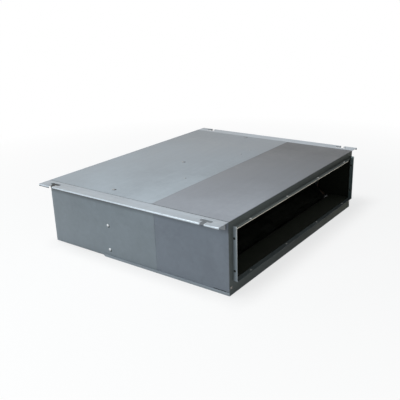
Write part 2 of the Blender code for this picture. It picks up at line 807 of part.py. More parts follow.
def scroll_half(name, upper, carrier):
    """Half of a blower housing, split level with the shaft, about its own middle."""
    width = HOUSING_WIDTH
    wall = HOUSING_WALL
    low, high = duct_mouth(wall)
    outside = scroll_prism(wall, width, NECK_END + wall / 2)
    half = piece(name, outside, dark_plastic(), carrier, True)
    rim = block(
        (-width / 2 - HOUSING_RIM, width / 2 + HOUSING_RIM),
        (NECK_END, NECK_END + wall),
        (low - HOUSING_RIM, high + HOUSING_RIM),
    )
    rear = SCROLL_RADIUS + SCROLL_GROWTH * REAR_SHARE + wall + HOUSING_RIM
    front = SCROLL_RADIUS + wall + HOUSING_RIM
    ledge_x = (wall / 2 - width / 2, width / 2 - wall / 2)
    join(
        half,
        rim,
        block(ledge_x, (SCROLL_RADIUS, rear), (-wall, wall)),
        block(ledge_x, (-front, -SCROLL_RADIUS), (-wall, wall)),
    )
    hole = BELL_THROAT + BELL_WALL / 2
    cut(
        half,
        scroll_prism(0, width - 2 * wall, NECK_END - wall),
        rod(hole, -width, width, (0, 0, 0), steps=BELL_STEPS),
    )
    join(half, inlet_bell(-1), inlet_bell(1))
    far = 2 * (SCROLL_RADIUS + SCROLL_GROWTH)
    away = (-far, FIT / 2) if upper else (-FIT / 2, far)
    cut(half, block((-far, far), (-far, far), away))
    frozen(half)
    half.location = (-BLOWER_X, SHAFT_Y, SHAFT_Z)
    return half


def scrolls(carrier):
    for part, upper in (("upper", True), ("lower", False)):
        left = scroll_half("left_scroll_" + part, upper, carrier)
        copy_at(left, "right_scroll_" + part, (BLOWER_X, SHAFT_Y, SHAFT_Z))


def fan_deck(carrier):
    """The bulkhead that the scrolls blow through."""
    top = CASE_HEIGHT - INNER
    back = DECK + SHEET
    front = DECK - DECK_FLANGE
    section = bent_sheet([(front, SKIN), (back, SKIN), (back, top), (front, top)], SHEET)
    deck = prism(section, "x", LEFT + SKIN, RIGHT - SKIN)
    deck = piece("fan_deck", deck, galvanised(), carrier)
    low, high = duct_mouth(0)
    half = HOUSING_WIDTH / 2 - HOUSING_WALL
    for x in (-BLOWER_X, BLOWER_X):
        through = (DECK - SHEET, back + SHEET)
        cut(deck, block((x - half, x + half), through, (SHAFT_Z + low, SHAFT_Z + high)))


def blade_outline(turn):
    """A forward-curved blade across its width, leaning with the rotation."""
    front, back = [], []
    steps = 2
    for i in range(steps + 1):
        share = i / steps
        radius = EYE_RADIUS + (BLADE_CHORD - BLADE_THICKNESS / 2) * share
        angle = turn + BLADE_LEAN * share**2
        half = BLADE_THICKNESS / 2 / radius
        front.append((radius * math.cos(angle + half), radius * math.sin(angle + half)))
        back.append((radius * math.cos(angle - half), radius * math.sin(angle - half)))
    return front + back[::-1]


def blower_wheels(carrier):
    """A twin-inlet wheel: two end rings and a middle web joined by curved blades."""
    half = WHEEL_WIDTH / 2
    ring_eye = EYE_RADIUS - BLADE_THICKNESS / 2
    hub = turned(
        [
            (-HUB_LENGTH / 2, SHAFT_RADIUS + FIT),
            (HUB_LENGTH / 2, SHAFT_RADIUS + FIT),
            (HUB_LENGTH / 2, HUB_RADIUS),
            (HUB_WEB / 2, HUB_RADIUS + HUB_WEB),
            (HUB_WEB / 2, WHEEL_RADIUS - HUB_WEB),
            (-HUB_WEB / 2, WHEEL_RADIUS - HUB_WEB),
            (-HUB_WEB / 2, HUB_RADIUS + HUB_WEB),
            (-HUB_LENGTH / 2, HUB_RADIUS),
        ],
        (0, 0, 0),
        steps=BLADE_COUNT,
    )
    wheel = piece("left_blower_wheel", hub, dark_plastic(), carrier, True)
    inset = WHEEL_RING / 2
    blades = bmesh.new()
    for k in range(BLADE_COUNT):
        turn = 2 * math.pi * (k + BLADE_PHASE) / BLADE_COUNT
        blade = prism(blade_outline(turn), "x", inset - half, half - inset)
        loose = bpy.data.meshes.new("blade")
        blade.to_mesh(loose)
        blade.free()
        blades.from_mesh(loose)
        bpy.data.meshes.remove(loose)
    rings = []
    for end in (-half, half - WHEEL_RING):
        rings.append(
            collar(ring_eye, WHEEL_RADIUS, end, end + WHEEL_RING, (0, 0, 0), steps=BLADE_COUNT)
        )
    join(wheel, blades, *rings)
    frozen(wheel)
    wheel.location = (-BLOWER_X, 0, 0)
    copy_at(wheel, "right_blower_wheel", (BLOWER_X, 0, 0))


def motor_shaft(carrier):
    reach = BLOWER_X + HUB_LENGTH / 2 + SHAFT_END
    chamfer = SHEET
    loop = [
        (-reach, 0),
        (-reach, SHAFT_RADIUS - chamfer),
        (chamfer - reach, SHAFT_RADIUS),
        (reach - chamfer, SHAFT_RADIUS),
        (reach, SHAFT_RADIUS - chamfer),
        (reach, 0),
    ]
    piece("motor_shaft", turned(loop, (0, 0, 0), steps=20), bright_steel(), carrier, True)


def motor(carrier):
    """A double-shaft motor: a can in two halves, with a bearing boss at each end."""
    half = MOTOR_LENGTH / 2
    end = half + BOSS_LENGTH
    bore = SHAFT_RADIUS + FIT
    seat = BEARING_RADIUS + FIT
    depth = end - BEARING_LENGTH - FIT
    side = [
        (depth, bore),
        (depth, seat),
        (end, seat),
        (end, BOSS_RADIUS),
        (half, BOSS_RADIUS),
        (half, MOTOR_RADIUS - MOTOR_TAPER),
        (half - MOTOR_TAPER, MOTOR_RADIUS),
        (MOTOR_SEAM, MOTOR_RADIUS),
        (MOTOR_SEAM, MOTOR_RADIUS + MOTOR_SEAM),
    ]
    loop = side + [(-along, radius) for along, radius in reversed(side)]
    axis = (0, SHAFT_Y, SHAFT_Z)
    piece("motor_body", turned(loop, axis, steps=20), galvanised(), carrier, True)
    for name, way in (("left", -1), ("right", 1)):
        near, far = sorted((way * (end - BEARING_LENGTH), way * end))
        race = collar(bore, BEARING_RADIUS, near, far, axis, steps=16)
        piece(name + "_motor_bearing", race, bright_steel(), carrier, True)
        near, far = mount_span(way)
        ring = collar(BOSS_RADIUS + FIT, mount_radius(), near, far, axis, steps=24)
        piece(name + "_rubber_mount", ring, rubber(), carrier, True)
        motor_strap(name + "_motor_strap", near, far, carrier)


def mount_radius():
    return BOSS_RADIUS + FIT + MOUNT_WALL


def mount_span(way):
    """Where a rubber mount lies along the shaft."""
    middle = way * (MOTOR_LENGTH / 2 + BOSS_LENGTH - MOUNT_WIDTH / 2)
    return middle - MOUNT_WIDTH / 2, middle + MOUNT_WIDTH / 2


def motor_strap(name, near, far, carrier):
    """A half hoop with two ears that holds a rubber mount down in the cradle."""
    inside = mount_radius() + FIT
    axis = (0, SHAFT_Y, SHAFT_Z)
    strap = collar(inside, inside + STRAP, near, far, axis, steps=24)
    strap = piece(name, strap, bright_steel(), carrier, True)
    reach = inside + STRAP + STRAP_EAR
    ear_z = (SHAFT_Z + FIT / 2, SHAFT_Z + FIT / 2 + STRAP)
    for way in (-1, 1):
        ear_y = sorted((SHAFT_Y + way * (inside + STRAP / 2), SHAFT_Y + way * reach))
        join(strap, block((near, far), ear_y, ear_z))
    below = (SHAFT_Z - 2 * reach, SHAFT_Z + FIT / 2)
    cut(
        strap,
        block((near - STRAP, far + STRAP), (SHAFT_Y - 2 * reach, SHAFT_Y + 2 * reach), below),
    )


def motor_bracket(carrier):
    """A cradle on the fan deck, with one arm under each rubber mount."""
    inside = mount_radius() + FIT
    reach = inside + STRAP + STRAP_EAR
    depth = inside + CRADLE_WALL
    plate_y = (DECK + SKIN, DECK + SKIN + BRACKET_PLATE)
    arm_z = (SHAFT_Z - depth, SHAFT_Z - FIT / 2)
    half = MOTOR_LENGTH / 2 + BOSS_LENGTH
    plate = block((-half, half), plate_y, arm_z)
    bracket = piece("motor_bracket", plate, galvanised(), carrier)
    heel = SHAFT_Y + reach
    for way in (-1, 1):
        near, far = mount_span(way)
        arm = [
            (plate_y[0] + BRACKET_PLATE / 2, arm_z[1]),
            (plate_y[0] + BRACKET_PLATE / 2, arm_z[0]),
            (SHAFT_Y + inside / 2, arm_z[0]),
            (heel, arm_z[1] - CRADLE_WALL),
            (heel, arm_z[1]),
        ]
        join(bracket, prism(arm, "x", near, far))
        seat = rod(inside, near - STRAP, far + STRAP, (0, SHAFT_Y, SHAFT_Z), steps=24)
        cut(bracket, seat)


# Coil, drain pan and foam
def on_coil(along, across):
    """A (y, z) place on the coil, from its lower front edge."""
    lean = COIL_ANGLE
    return (
        COIL_TOE + along * math.cos(lean) - across * math.sin(lean),
        COIL_FOOT + along * math.sin(lean) + across * math.cos(lean),
    )


def coil_fins(carrier):
    """The fin pack as a slab with a comb of fins standing on both faces."""
    start = COIL_X[0] + END_PLATE + FIT
    end = COIL_X[1] - END_PLATE - FIT
    pitch = (end - start) / (2 * FIN_COUNT - 1)
    comb = []
    for i in range(FIN_COUNT):
        near = start + 2 * i * pitch
        comb += [(near, 0), (near + pitch, 0)]
        if i < FIN_COUNT - 1:
            comb += [(near + pitch, FIN_DEPTH), (near + 2 * pitch, FIN_DEPTH)]
    back = [(x, COIL_THICKNESS - across) for x, across in reversed(comb)]
    bm = bmesh.new()
    rings = []
    for along in (0, COIL_LENGTH):
        ring = [bm.verts.new((x, *on_coil(along, across))) for x, across in comb + back]
        rings.append(ring)
        bm.faces.new(ring)
    for i in range(len(rings[0])):
        bm.faces.new((rings[0][i - 1], rings[0][i], rings[1][i], rings[1][i - 1]))
    piece("coil_fins", outward(bm), aluminium(), carrier)


def return_bend(x, way, row, first, second):
    """A U bend between two tubes of one row, outside an end plate."""
    across = (row + 0.5) * ROW_PITCH
    start, end = ((n + 0.5) * TUBE_PITCH for n in (first, second))
    radius = (end - start) / 2
    points = []
    steps = 4
    for i in range(steps + 1):
        angle = math.pi * i / steps
        along = (start + end) / 2 - radius * math.cos(angle)
        out = x + way * (2 * SHEET + radius * math.sin(angle))
        points.append((out, *on_coil(along, across)))
    inside = x - way * END_PLATE / 2
    points.insert(0, (inside, *on_coil(start, across)))
    points.append((inside, *on_coil(end, across)))
    return tube(points, TUBE_RADIUS, 5)


def pan_floor_at(x):
    """The height of the drain pan's sloping floor."""
    start, end = PAN_X[0] + PAN_WALL, PAN_X[1] - PAN_WALL
    return PAN_LOW + PAN_FALL * (end - x) / (end - start)


def coil_plates(carrier):
    """The coil's end plates, standing in the pan and reaching the ceiling, with their bends."""
    border = END_PLATE_BORDER
    for name, x, way in (("left", COIL_X[0], -1), ("right", COIL_X[1], 1)):
        near, far = sorted((x, x - way * END_PLATE))
        foot = pan_floor_at(near) + FIT
        heel = COIL_HEEL + border
        toe = PAN_Y[0] + PAN_WALL + SHEET
        nose_y, nose_z = on_coil(0, COIL_THICKNESS)
        outline = [
            (toe, foot),
            (heel, foot),
            (heel, CEILING - FIT),
            (on_coil(COIL_LENGTH / 2, COIL_THICKNESS)[0], CEILING - FIT),
            (nose_y - border, nose_z + border),
            (nose_y - border, PAN_TOP + SHEET),
            (toe, PAN_TOP + SHEET),
        ]
        plate = prism(outline, "x", near, far)
        plate = piece(name + "_coil_plate", plate, aluminium(), carrier)
        bends = [
            return_bend(x, way, row, n, n + 1)
            for row in (0, 1)
            for n in (range(0, TUBE_ROWS - 1, 2) if way < 0 else joined_on_right())
        ]
        join(plate, *bends)


def joined_on_right():
    """The tubes whose right end bends over to the next tube; the others reach a header."""
    return range(1, TUBE_ROWS - 1, 4)


def drain_places():
    return [FRONT + along for along in DRAINS_FROM_FRONT]


def drain_pan(carrier):
    """A foam trough whose floor falls to two holes in its right-hand wall."""
    pan = block(PAN_X, PAN_Y, (INNER, PAN_TOP))
    pan = piece("drain_pan", pan, black_foam(), carrier)
    low_x, high_x = PAN_X[0] + PAN_WALL, PAN_X[1] - PAN_WALL
    hollow = [
        (low_x, PAN_LOW + PAN_FALL),
        (high_x, PAN_LOW),
        (high_x, PAN_TOP + SHEET),
        (low_x, PAN_TOP + SHEET),
    ]
    cut(pan, prism(hollow, "y", PAN_Y[0] + PAN_WALL, PAN_Y[1] - PAN_WALL))
    for y in drain_places():
        through = (high_x - SHEET, high_x + PAN_WALL + SHEET)
        cut(pan, rod(DRAIN_RADIUS + FIT, *through, (0, y, DRAIN_Z), steps=20))


def drain_spouts(carrier):
    """The tubes through the pan's wall, with a chamfered end to take a hose."""
    start = PAN_X[1] - PAN_WALL
    end = RIGHT + DRAIN_LENGTH
    loop = [
        (start, DRAIN_BORE),
        (end, DRAIN_BORE),
        (end, DRAIN_RADIUS - SHEET),
        (end - SHEET, DRAIN_RADIUS),
        (start, DRAIN_RADIUS),
    ]
    for name, y in zip(("front", "rear"), drain_places()):
        spout = turned(loop, (0, y, DRAIN_Z), steps=20)
        piece(name + "_drain_spout", spout, dark_plastic(), carrier, True)


def drain_plug(carrier):
    """The rubber cap on the outlet that isn't used."""
    inside = DRAIN_RADIUS + FIT
    end = RIGHT + DRAIN_LENGTH + FIT
    cap = turned(
        [
            (end + PLUG_WALL, 0),
            (end + PLUG_WALL, inside + PLUG_WALL),
            (end + PLUG_WALL - PLUG_LENGTH, inside + PLUG_WALL),
            (end + PLUG_WALL - PLUG_LENGTH, inside),
            (end, inside),
            (end, 0),
        ],
        (0, drain_places()[1], DRAIN_Z),
        steps=20,
    )
    piece("drain_plug", cap, rubber(), carrier, True)


def foam_linings(carrier):
    """The outlet floor, and the linings of the walls and ceiling of the coil section."""
    front = FRONT + INNER
    back = DECK - DECK_FLANGE - FIT
    inside_x = (LEFT + INNER, RIGHT - INNER)
    sill = block(inside_x, (front, PAN_Y[0] - FIT), (INNER, OUTLET_SILL))
    piece("outlet_floor_foam", sill, black_foam(), carrier)
    top = block(inside_x, (front, back), (CEILING, CASE_HEIGHT - INNER))
    piece("top_lining", top, black_foam(), carrier)
    wall_z = (OUTLET_SILL + FIT, CEILING - FIT)
    left = block((inside_x[0], inside_x[0] + LINING), (front, back), wall_z)
    piece("left_lining", left, black_foam(), carrier)
    right = block((inside_x[1] - LINING, inside_x[1]), (front, back), wall_z)
    right = piece("right_lining", right, black_foam(), carrier)
    low, high = pipe_window()
    window = block((inside_x[1] - 2 * LINING, RIGHT), *zip(low, high))
    cut(right, window)


# Refrigerant pipes
def pipe_place(from_front, row):
    """The (y, z) place where a pipe meets its header on one row of the coil."""
    across = (row + 0.5) * ROW_PITCH
    reach = FRONT + from_front - COIL_TOE + across * math.sin(COIL_ANGLE)
    return on_coil(reach / math.cos(COIL_ANGLE), across)


def pipe_window():
    """The opening in the right side for both pipes, as (y, z) corners."""
    gas = pipe_place(GAS_FROM_FRONT, 1)
    liquid = pipe_place(LIQUID_FROM_FRONT, 0)
    low = (liquid[0] - WINDOW_MARGIN, liquid[1] - WINDOW_MARGIN + 2 * SHEET)
    high = (gas[0] + WINDOW_MARGIN, gas[1] + WINDOW_MARGIN)
    return low, high


def header(name, row, carrier):
    """A manifold along the coil, with a stub to each tube that no bend takes."""
    across = (row + 0.5) * ROW_PITCH
    x = COIL_X[1] + HEADER_OFF
    bent = [n for first in joined_on_right() for n in (first, first + 1)]
    stubs = [(n + 0.5) * TUBE_PITCH for n in range(TUBE_ROWS) if n not in bent]
    ends = (stubs[0] - HEADER_RADIUS, stubs[-1] + HEADER_RADIUS)
    bar = tube([(x, *on_coil(end, across)) for end in ends], HEADER_RADIUS, 10)
    bar = piece(name, bar, copper(), carrier, True)
    for along in stubs:
        y, z = on_coil(along, across)
        join(bar, tube([(COIL_X[1] + FIT, y, z), (x, y, z)], TUBE_RADIUS, 6))


def refrigerant_pipes(carrier):
    window_low, window_high = pipe_window()
    plate_x = (RIGHT + FIT, RIGHT + SKIN)
    plate_yz = [
        (a - PLATE_OVERLAP, b + PLATE_OVERLAP) for a, b in zip(window_low, window_high)
    ]
    plate = piece("pipe_plate", block(plate_x, *plate_yz), galvanised(), carrier)
    for name, row, from_front, radius in (
        ("gas", 1, GAS_FROM_FRONT, GAS_RADIUS),
        ("liquid", 0, LIQUID_FROM_FRONT, LIQUID_RADIUS),
    ):
        header(name + "_header", row, carrier)
        y, z = pipe_place(from_front, row)
        start = COIL_X[1] + HEADER_OFF + HEADER_RADIUS + FIT
        end = RIGHT + PIPE_STUB
        pipe = rod(radius, start, end, (0, y, z), steps=20)
        pipe = piece(name + "_pipe", pipe, copper(), carrier, True)
        cut(pipe, rod(radius - PIPE_WALL, RIGHT, end + SHEET, (0, y, z), steps=12))
        through = (plate_x[0] - SHEET, plate_x[1] + SHEET)
        cut(plate, rod(radius + FIT, *through, (0, y, z), steps=20))
        nut_end = end - FIT
        flats = rod(radius + NUT_WALL, nut_end - NUT_LENGTH, nut_end, (0, y, z), steps=6)
        nut = piece(name + "_flare_nut", flats, brass(), carrier)
        cut(nut, rod(radius + FIT, nut_end - 2 * NUT_LENGTH, end + SHEET, (0, y, z), steps=20))


# Filter
def filter_parts(carrier):
    """A ribbed frame with its cloth, on the slide; places are from the closed position."""
    x = (LEFT + SKIN + FIT, RIGHT)
    frame = piece("filter_frame", block(x, FILTER_Y, FILTER_Z), dark_plastic(), carrier)
    tab_out, tab_thick, tab_tall = FILTER_TAB
    middle_y, middle_z = sum(FILTER_Y) / 2, sum(FILTER_Z) / 2
    tab = block(
        (RIGHT - FILTER_BORDER / 2, RIGHT + tab_out),
        (middle_y - tab_thick / 2, middle_y + tab_thick / 2),
        (middle_z - tab_tall / 2, middle_z + tab_tall / 2),
    )
    join(frame, tab)
    inside_x = (x[0] + FILTER_BORDER, x[1] - FILTER_BORDER)
    inside_z = (FILTER_Z[0] + FILTER_BORDER, FILTER_Z[1] - FILTER_BORDER)
    shelf = FILTER_Y[1] - FILTER_RIB_DEPTH
    cut(frame, block(inside_x, (FILTER_Y[0] - SHEET, shelf), inside_z))
    wide = (inside_x[1] - inside_x[0] + FILTER_RIB) / FILTER_COLUMNS
    tall = (inside_z[1] - inside_z[0] + FILTER_RIB) / FILTER_ROWS
    cells = bmesh.new()
    for i in range(FILTER_COLUMNS):
        for k in range(FILTER_ROWS):
            low_x = inside_x[0] + i * wide
            low_z = inside_z[0] + k * tall
            cell = block(
                (low_x, low_x + wide - FILTER_RIB),
                (shelf - SHEET, FILTER_Y[1] + SHEET),
                (low_z, low_z + tall - FILTER_RIB),
            )
            loose = bpy.data.meshes.new("cell")
            cell.to_mesh(loose)
            cell.free()
            cells.from_mesh(loose)
            bpy.data.meshes.remove(loose)
    cut(frame, cells)
    cloth_y = (shelf - FIT - FILTER_CLOTH, shelf - FIT)
    cloth = block(
        (inside_x[0] + FIT, inside_x[1] - FIT),
        cloth_y,
        (inside_z[0] + FIT, inside_z[1] - FIT),
    )
    piece("filter_cloth", cloth, filter_cloth(), carrier)


# Electrical box
def electrical_box(carrier):
    box = piece("electrical_box", block(BOX_X, BOX_Y, BOX_Z), galvanised(), carrier)
    hollow = block(
        (BOX_X[0] + SHEET, BOX_X[1] + SHEET),
        (BOX_Y[0] + SHEET, BOX_Y[1] - SHEET),
        (BOX_Z[0] + SHEET, BOX_Z[1] - SHEET),
    )
    cut(box, hollow)
    centre = gland_centre()
    cut(box, rod(GROMMET_HOLE, -2 * SHEET, 2 * SHEET, centre, "y", steps=16))
    groove = GROMMET_HOLE - FIT
    flange = GROMMET_HOLE + GROMMET_RIM
    inside = SHEET + FIT
    bush = [
        (-FIT - GROMMET_RIM, GROMMET_BORE),
        (inside + GROMMET_RIM, GROMMET_BORE),
        (inside + GROMMET_RIM, flange),
        (inside, flange),
        (inside, groove),
        (-FIT, groove),
        (-FIT, flange),
        (-FIT - GROMMET_RIM, flange),
    ]
    piece("cable_grommet", turned(bush, centre, "y", 16), rubber(), carrier, True)

    skin = BOX_X[1] + FIT
    outer = block(
        (BOX_X[1] - COVER_RETURN, skin + SHEET),
        (BOX_Y[0] - SKIN, BOX_Y[1] + SKIN),
        (BOX_Z[0] - SKIN, BOX_Z[1] + SKIN),
    )
    cover = piece("electrical_box_cover", outer, galvanised(), carrier)
    space = block(
        (BOX_X[0], skin),
        (BOX_Y[0] - FIT, BOX_Y[1] + FIT),
        (BOX_Z[0] - FIT, BOX_Z[1] + FIT),
    )
    cut(cover, space)


def gland_centre():
    return ((BOX_X[0] + BOX_X[1]) / 2 - COVER_RETURN / 2, BOX_Y[0], sum(BOX_Z) / 2)


def board_x():
    back = BOX_X[0] + SHEET + BOARD_STANDOFF
    return back, back + BOARD_THICKNESS


def board_yz():
    end = BOX_Y[1] - BOARD_FROM_END
    middle = sum(BOX_Z) / 2
    return (
        (end - BOX_LENGTH * BOARD_LENGTH_SHARE, end),
        (middle - BOARD_HEIGHT / 2, middle + BOARD_HEIGHT / 2),
    )


def board_corners():
    y, z = board_yz()
    inset = STANDOFF_SIDE
    return [(a, b) for a in (y[0] + inset, y[1] - inset) for b in (z[0] + inset, z[1] - inset)]


def electrical_parts(carrier):
    """The control board on its standoffs, the terminal block and the fan capacitor."""
    x = board_x()
    y, z = board_yz()
    board = piece("control_board", block(x, y, z), green_board(), carrier)
    wide, tall = y[1] - y[0], z[1] - z[0]
    for low_y, low_z, long_y, long_z, high in BOARD_PARTS:
        part_y = (y[0] + wide * low_y, y[0] + wide * (low_y + long_y))
        part_z = (z[0] + tall * low_z, z[0] + tall * (low_z + long_z))
        join(board, block((x[0] + BOARD_THICKNESS / 2, x[1] + high), part_y, part_z))
    back = BOX_X[0] + SHEET + FIT
    for corner in board_corners():
        low = [centre - STANDOFF_SIDE / 2 for centre in corner]
        high = [centre + STANDOFF_SIDE / 2 for centre in corner]
        join(board, block((back, x[0] + BOARD_THICKNESS / 2), *zip(low, high)))

    front = back + TERMINAL_DEPTH
    length = BOX_LENGTH * TERMINAL_LENGTH_SHARE
    start = BOX_Y[0] + BOARD_FROM_END
    centre = (back + CAPACITOR_RADIUS, start + length / 2, BOX_Z[0] + SHEET + FIT)
    can = rod(CAPACITOR_RADIUS, 0, CAPACITOR_LENGTH, centre, "z", 24)
    piece("fan_capacitor", can, bright_steel(), carrier, True)

    low = centre[2] + CAPACITOR_LENGTH + TERMINAL_ABOVE_CAPACITOR
    high = low + TERMINAL_HEIGHT
    terminals = block((back, front), (start, start + length), (low, high))
    terminals = piece("terminal_block", terminals, dark_plastic(), carrier)
    way = length / TERMINAL_WAYS
    for i in range(TERMINAL_WAYS):
        middle = start + (i + 0.5) * way
        half = way * TERMINAL_SLOT_SHARE / 2
        slot = block(
            (front - TERMINAL_SLOT_DEPTH, front + SHEET),
            (middle - half, middle + half),
            (low - SHEET, high + SHEET),
        )
        cut(terminals, slot)


def main():
    clear_scene()
    unit = empty("air_conditioner", (0, 0, 0))
    hanger_rails(unit)
    top_panels(unit)
    side_panels(unit)
    outlet_front_panel(unit)
    floor_panels(unit)
    return_air_frame(unit)
    filter_channels(unit)
    fan_deck(unit)
    scrolls(unit)
    motor(unit)
    motor_bracket(unit)
    coil_fins(unit)
    coil_plates(unit)
    drain_pan(unit)
    drain_spouts(unit)
    drain_plug(unit)
    foam_linings(unit)
    refrigerant_pipes(unit)
    electrical_box(unit)
    electrical_parts(unit)
    rotor = empty("rotor_axis", (0, SHAFT_Y, SHAFT_Z), unit)
    motor_shaft(rotor)
    blower_wheels(rotor)
    slide = empty("filter_slide", (0, 0, 0), unit)
    filter_parts(slide)


main()
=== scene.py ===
"""Dresses the slim ducted air conditioner, and sets its stage.

It finishes the sheet metal, foam, board and motor, and makes the screws, rivets, coil, filter net,
blower wheels, pipes, nuts, spouts and cable bush. It is laid out as an add-on and run as a script.
Every length is in metres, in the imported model's frame: +X towards the pipes and the electrical
box, air leaves towards -Y, +Z up.
"""

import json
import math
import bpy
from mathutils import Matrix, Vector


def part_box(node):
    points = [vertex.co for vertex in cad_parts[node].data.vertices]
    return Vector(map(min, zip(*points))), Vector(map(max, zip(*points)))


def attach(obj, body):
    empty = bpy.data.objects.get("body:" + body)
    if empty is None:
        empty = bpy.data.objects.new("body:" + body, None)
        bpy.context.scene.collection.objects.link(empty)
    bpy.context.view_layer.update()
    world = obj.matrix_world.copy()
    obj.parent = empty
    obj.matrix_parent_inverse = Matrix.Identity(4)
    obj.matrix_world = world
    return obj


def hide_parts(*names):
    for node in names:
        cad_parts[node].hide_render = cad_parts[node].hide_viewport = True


bl_info = {
    "name": "Ducted air conditioner",
    "version": (1, 0, 0),
    "blender": (4, 5, 0),
    "location": "View3D > Sidebar > Air conditioner",
    "description": "Dresses the packed model of a slim ducted air conditioner and sets its stage",
    "category": "Object",
}

import bmesh
import bpy
from bpy.props import FloatProperty, FloatVectorProperty, IntProperty, PointerProperty
from mathutils import Matrix, Vector

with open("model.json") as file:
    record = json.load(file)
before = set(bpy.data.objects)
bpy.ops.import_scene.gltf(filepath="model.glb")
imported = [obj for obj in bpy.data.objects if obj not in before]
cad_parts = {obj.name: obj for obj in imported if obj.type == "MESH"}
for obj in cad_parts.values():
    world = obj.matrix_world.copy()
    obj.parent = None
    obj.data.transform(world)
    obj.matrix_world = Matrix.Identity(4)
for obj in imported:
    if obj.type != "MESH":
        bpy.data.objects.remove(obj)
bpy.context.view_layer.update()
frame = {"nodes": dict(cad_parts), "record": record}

MM = 0.001

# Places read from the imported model
FRONT_TOP, REAR_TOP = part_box("front_top_panel"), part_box("rear_top_panel")
LEFT, FRONT = FRONT_TOP[0].x, FRONT_TOP[0].y
RIGHT, TOP = FRONT_TOP[1].x, FRONT_TOP[1].z
SEAM, REAR = FRONT_TOP[1].y, REAR_TOP[1].y
RIGHT_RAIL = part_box("right_hanger_rail")
RAIL_LOW, RAIL_EDGE = RIGHT_RAIL[0].z, RIGHT_RAIL[1].x
COLLAR_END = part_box("outlet_front_panel")[0].y
SHAFT = (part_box("motor_shaft")[0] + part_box("motor_shaft")[1]) / 2
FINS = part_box("coil_fins")

# The air outlet's inner faces, a little outside the space that the record keeps free
OPENINGS = frame["record"]["physics"]["openings"]
OUTLET_SPACE = next(space["box_m"] for space in OPENINGS if space["name"] == "air_outlet")
OUTLET_LEFT, OUTLET_RIGHT = OUTLET_SPACE[0][0] - 2 * MM, OUTLET_SPACE[1][0] + 2 * MM
OUTLET_SILL, OUTLET_TOP = OUTLET_SPACE[0][2] - 1 * MM, OUTLET_SPACE[1][2] + 1 * MM

# Limits for the masks: the top's outer face, the rails' flange and rolled edge, and the collar
TOP_FACE, UNDER_FLANGE = TOP - 1.1 * MM, TOP - 2 * MM
EDGE_START, EDGE_TOP, EDGE_MIDDLE = RAIL_EDGE - 1.4 * MM, TOP - 0.4 * MM, TOP - 4.2 * MM
COLLAR_START = FRONT - 1.3 * MM

# The coil's slant, its thickness and the tubes in a row, as the solids have them
COIL_ANGLE = math.radians(28)
COIL_THICKNESS = 36.4 * MM
COIL_TUBES = 12

# The tubes' radius, and how far out from an end plate's inner face its bends are bare copper
TUBE_RADIUS = 3.6 * MM
BENDS_START = 1.3 * MM

# Screws and rivets, as distances from the casing's left, front and lower edges
TOP_SCREWS, TOP_SCREWS_BACK = (0.032, 0.352, 0.731), 0.410
SIDE_SCREWS, SIDE_SCREWS_BACK = (0.1028, 0.0278), 0.412
TOP_RIVETS, TOP_RIVETS_BACK = (0.219, 0.524, 0.585), 0.300
CORNER_SCREW_IN, CORNER_SCREW_UP = 0.0063, 0.022
RAIL_RIVETS, RAIL_RIVETS_UP, RAIL_RIVETS_OUT = (-0.2, 0, 0.2), 0.007, 1.3 * MM

# Screws at the back, underneath and on the right, as distances in from their panel's edges, and
# how far the access panel's face is above its lowest place
RETURN_SCREWS_IN, RETURN_SCREWS_UP = 0.014, 0.011
ACCESS_SCREWS_IN, ACCESS_SCREWS_AHEAD, ACCESS_SCREWS_MIDDLE = 0.02, 0.024, 0.12
ACCESS_FACE = 2.7 * MM
PIPE_PLATE_SCREWS_IN, COVER_SCREWS_IN = 0.005, 0.012

# The pilot holes of the outlet's collar, as the solids have them
HOLE_DIAMETER, HOLE_BACK = 6 * MM, 5 * MM
HOLES_ACROSS, HOLES_FROM_LEFT, HOLES_FROM_RIGHT = 4, 73 * MM, 64 * MM
SIDE_HOLE_IN = 27 * MM

# The camera's place, its sensor's width in millimetres, and each lamp's size, place and colour
CAMERA_PLACE, SENSOR_WIDTH = (-1.43825, -1.03665, 0.72085), 36
WHITE, COOL = (1, 1, 1), (0.86, 0.97, 1.0)
KEY_LAMP = ((1.2, 1.2), (-0.7, 0.32, 3.3), WHITE)
SIDE_LAMP = ((0.9, 0.6), (-2.3, 0.3, 1.15), COOL)

# The floor as the camera sees it, and how far out it begins and ends to fade to white
FLOOR_SEEN = (0.95, 0.95, 0.95)
FLOOR_FADES = (0.6, 1.7)


# Node trees
class Value:
    """A socket of a node tree that Python sums can be done on."""

    def __init__(self, graph, socket):
        self.graph = graph
        self.socket = socket

    def out(self, name):
        """Another output of the same node."""
        return Value(self.graph, find_socket(self.socket.node.outputs, name))

    def math(self, operation, *terms):
        return self.graph.node("ShaderNodeMath", {"operation": operation}, *terms)

    def __add__(self, other):
        return self.math("ADD", self, other)

    def __sub__(self, other):
        return self.math("SUBTRACT", self, other)

    def __rsub__(self, other):
        return self.math("SUBTRACT", other, self)

    def __mul__(self, other):
        return self.math("MULTIPLY", self, other)

    def __truediv__(self, other):
        return self.math("DIVIDE", self, other)

    def __or__(self, other):
        return self.math("MAXIMUM", self, other)

    def __abs__(self):
        return self.math("ABSOLUTE", self)

    def __gt__(self, other):
        return self.math("GREATER_THAN", self, other)

    def __lt__(self, other):
        return self.math("LESS_THAN", self, other)

    __radd__ = __add__
    __rmul__ = __mul__


def find_socket(sockets, name):
    """The socket with this identifier, or else the one in use that has this name."""
    for socket in sockets:
        if socket.identifier == name:
            return socket
    for socket in sockets:
        if socket.name == name and socket.enabled:
            return socket
    raise KeyError(f"no socket named {name}")


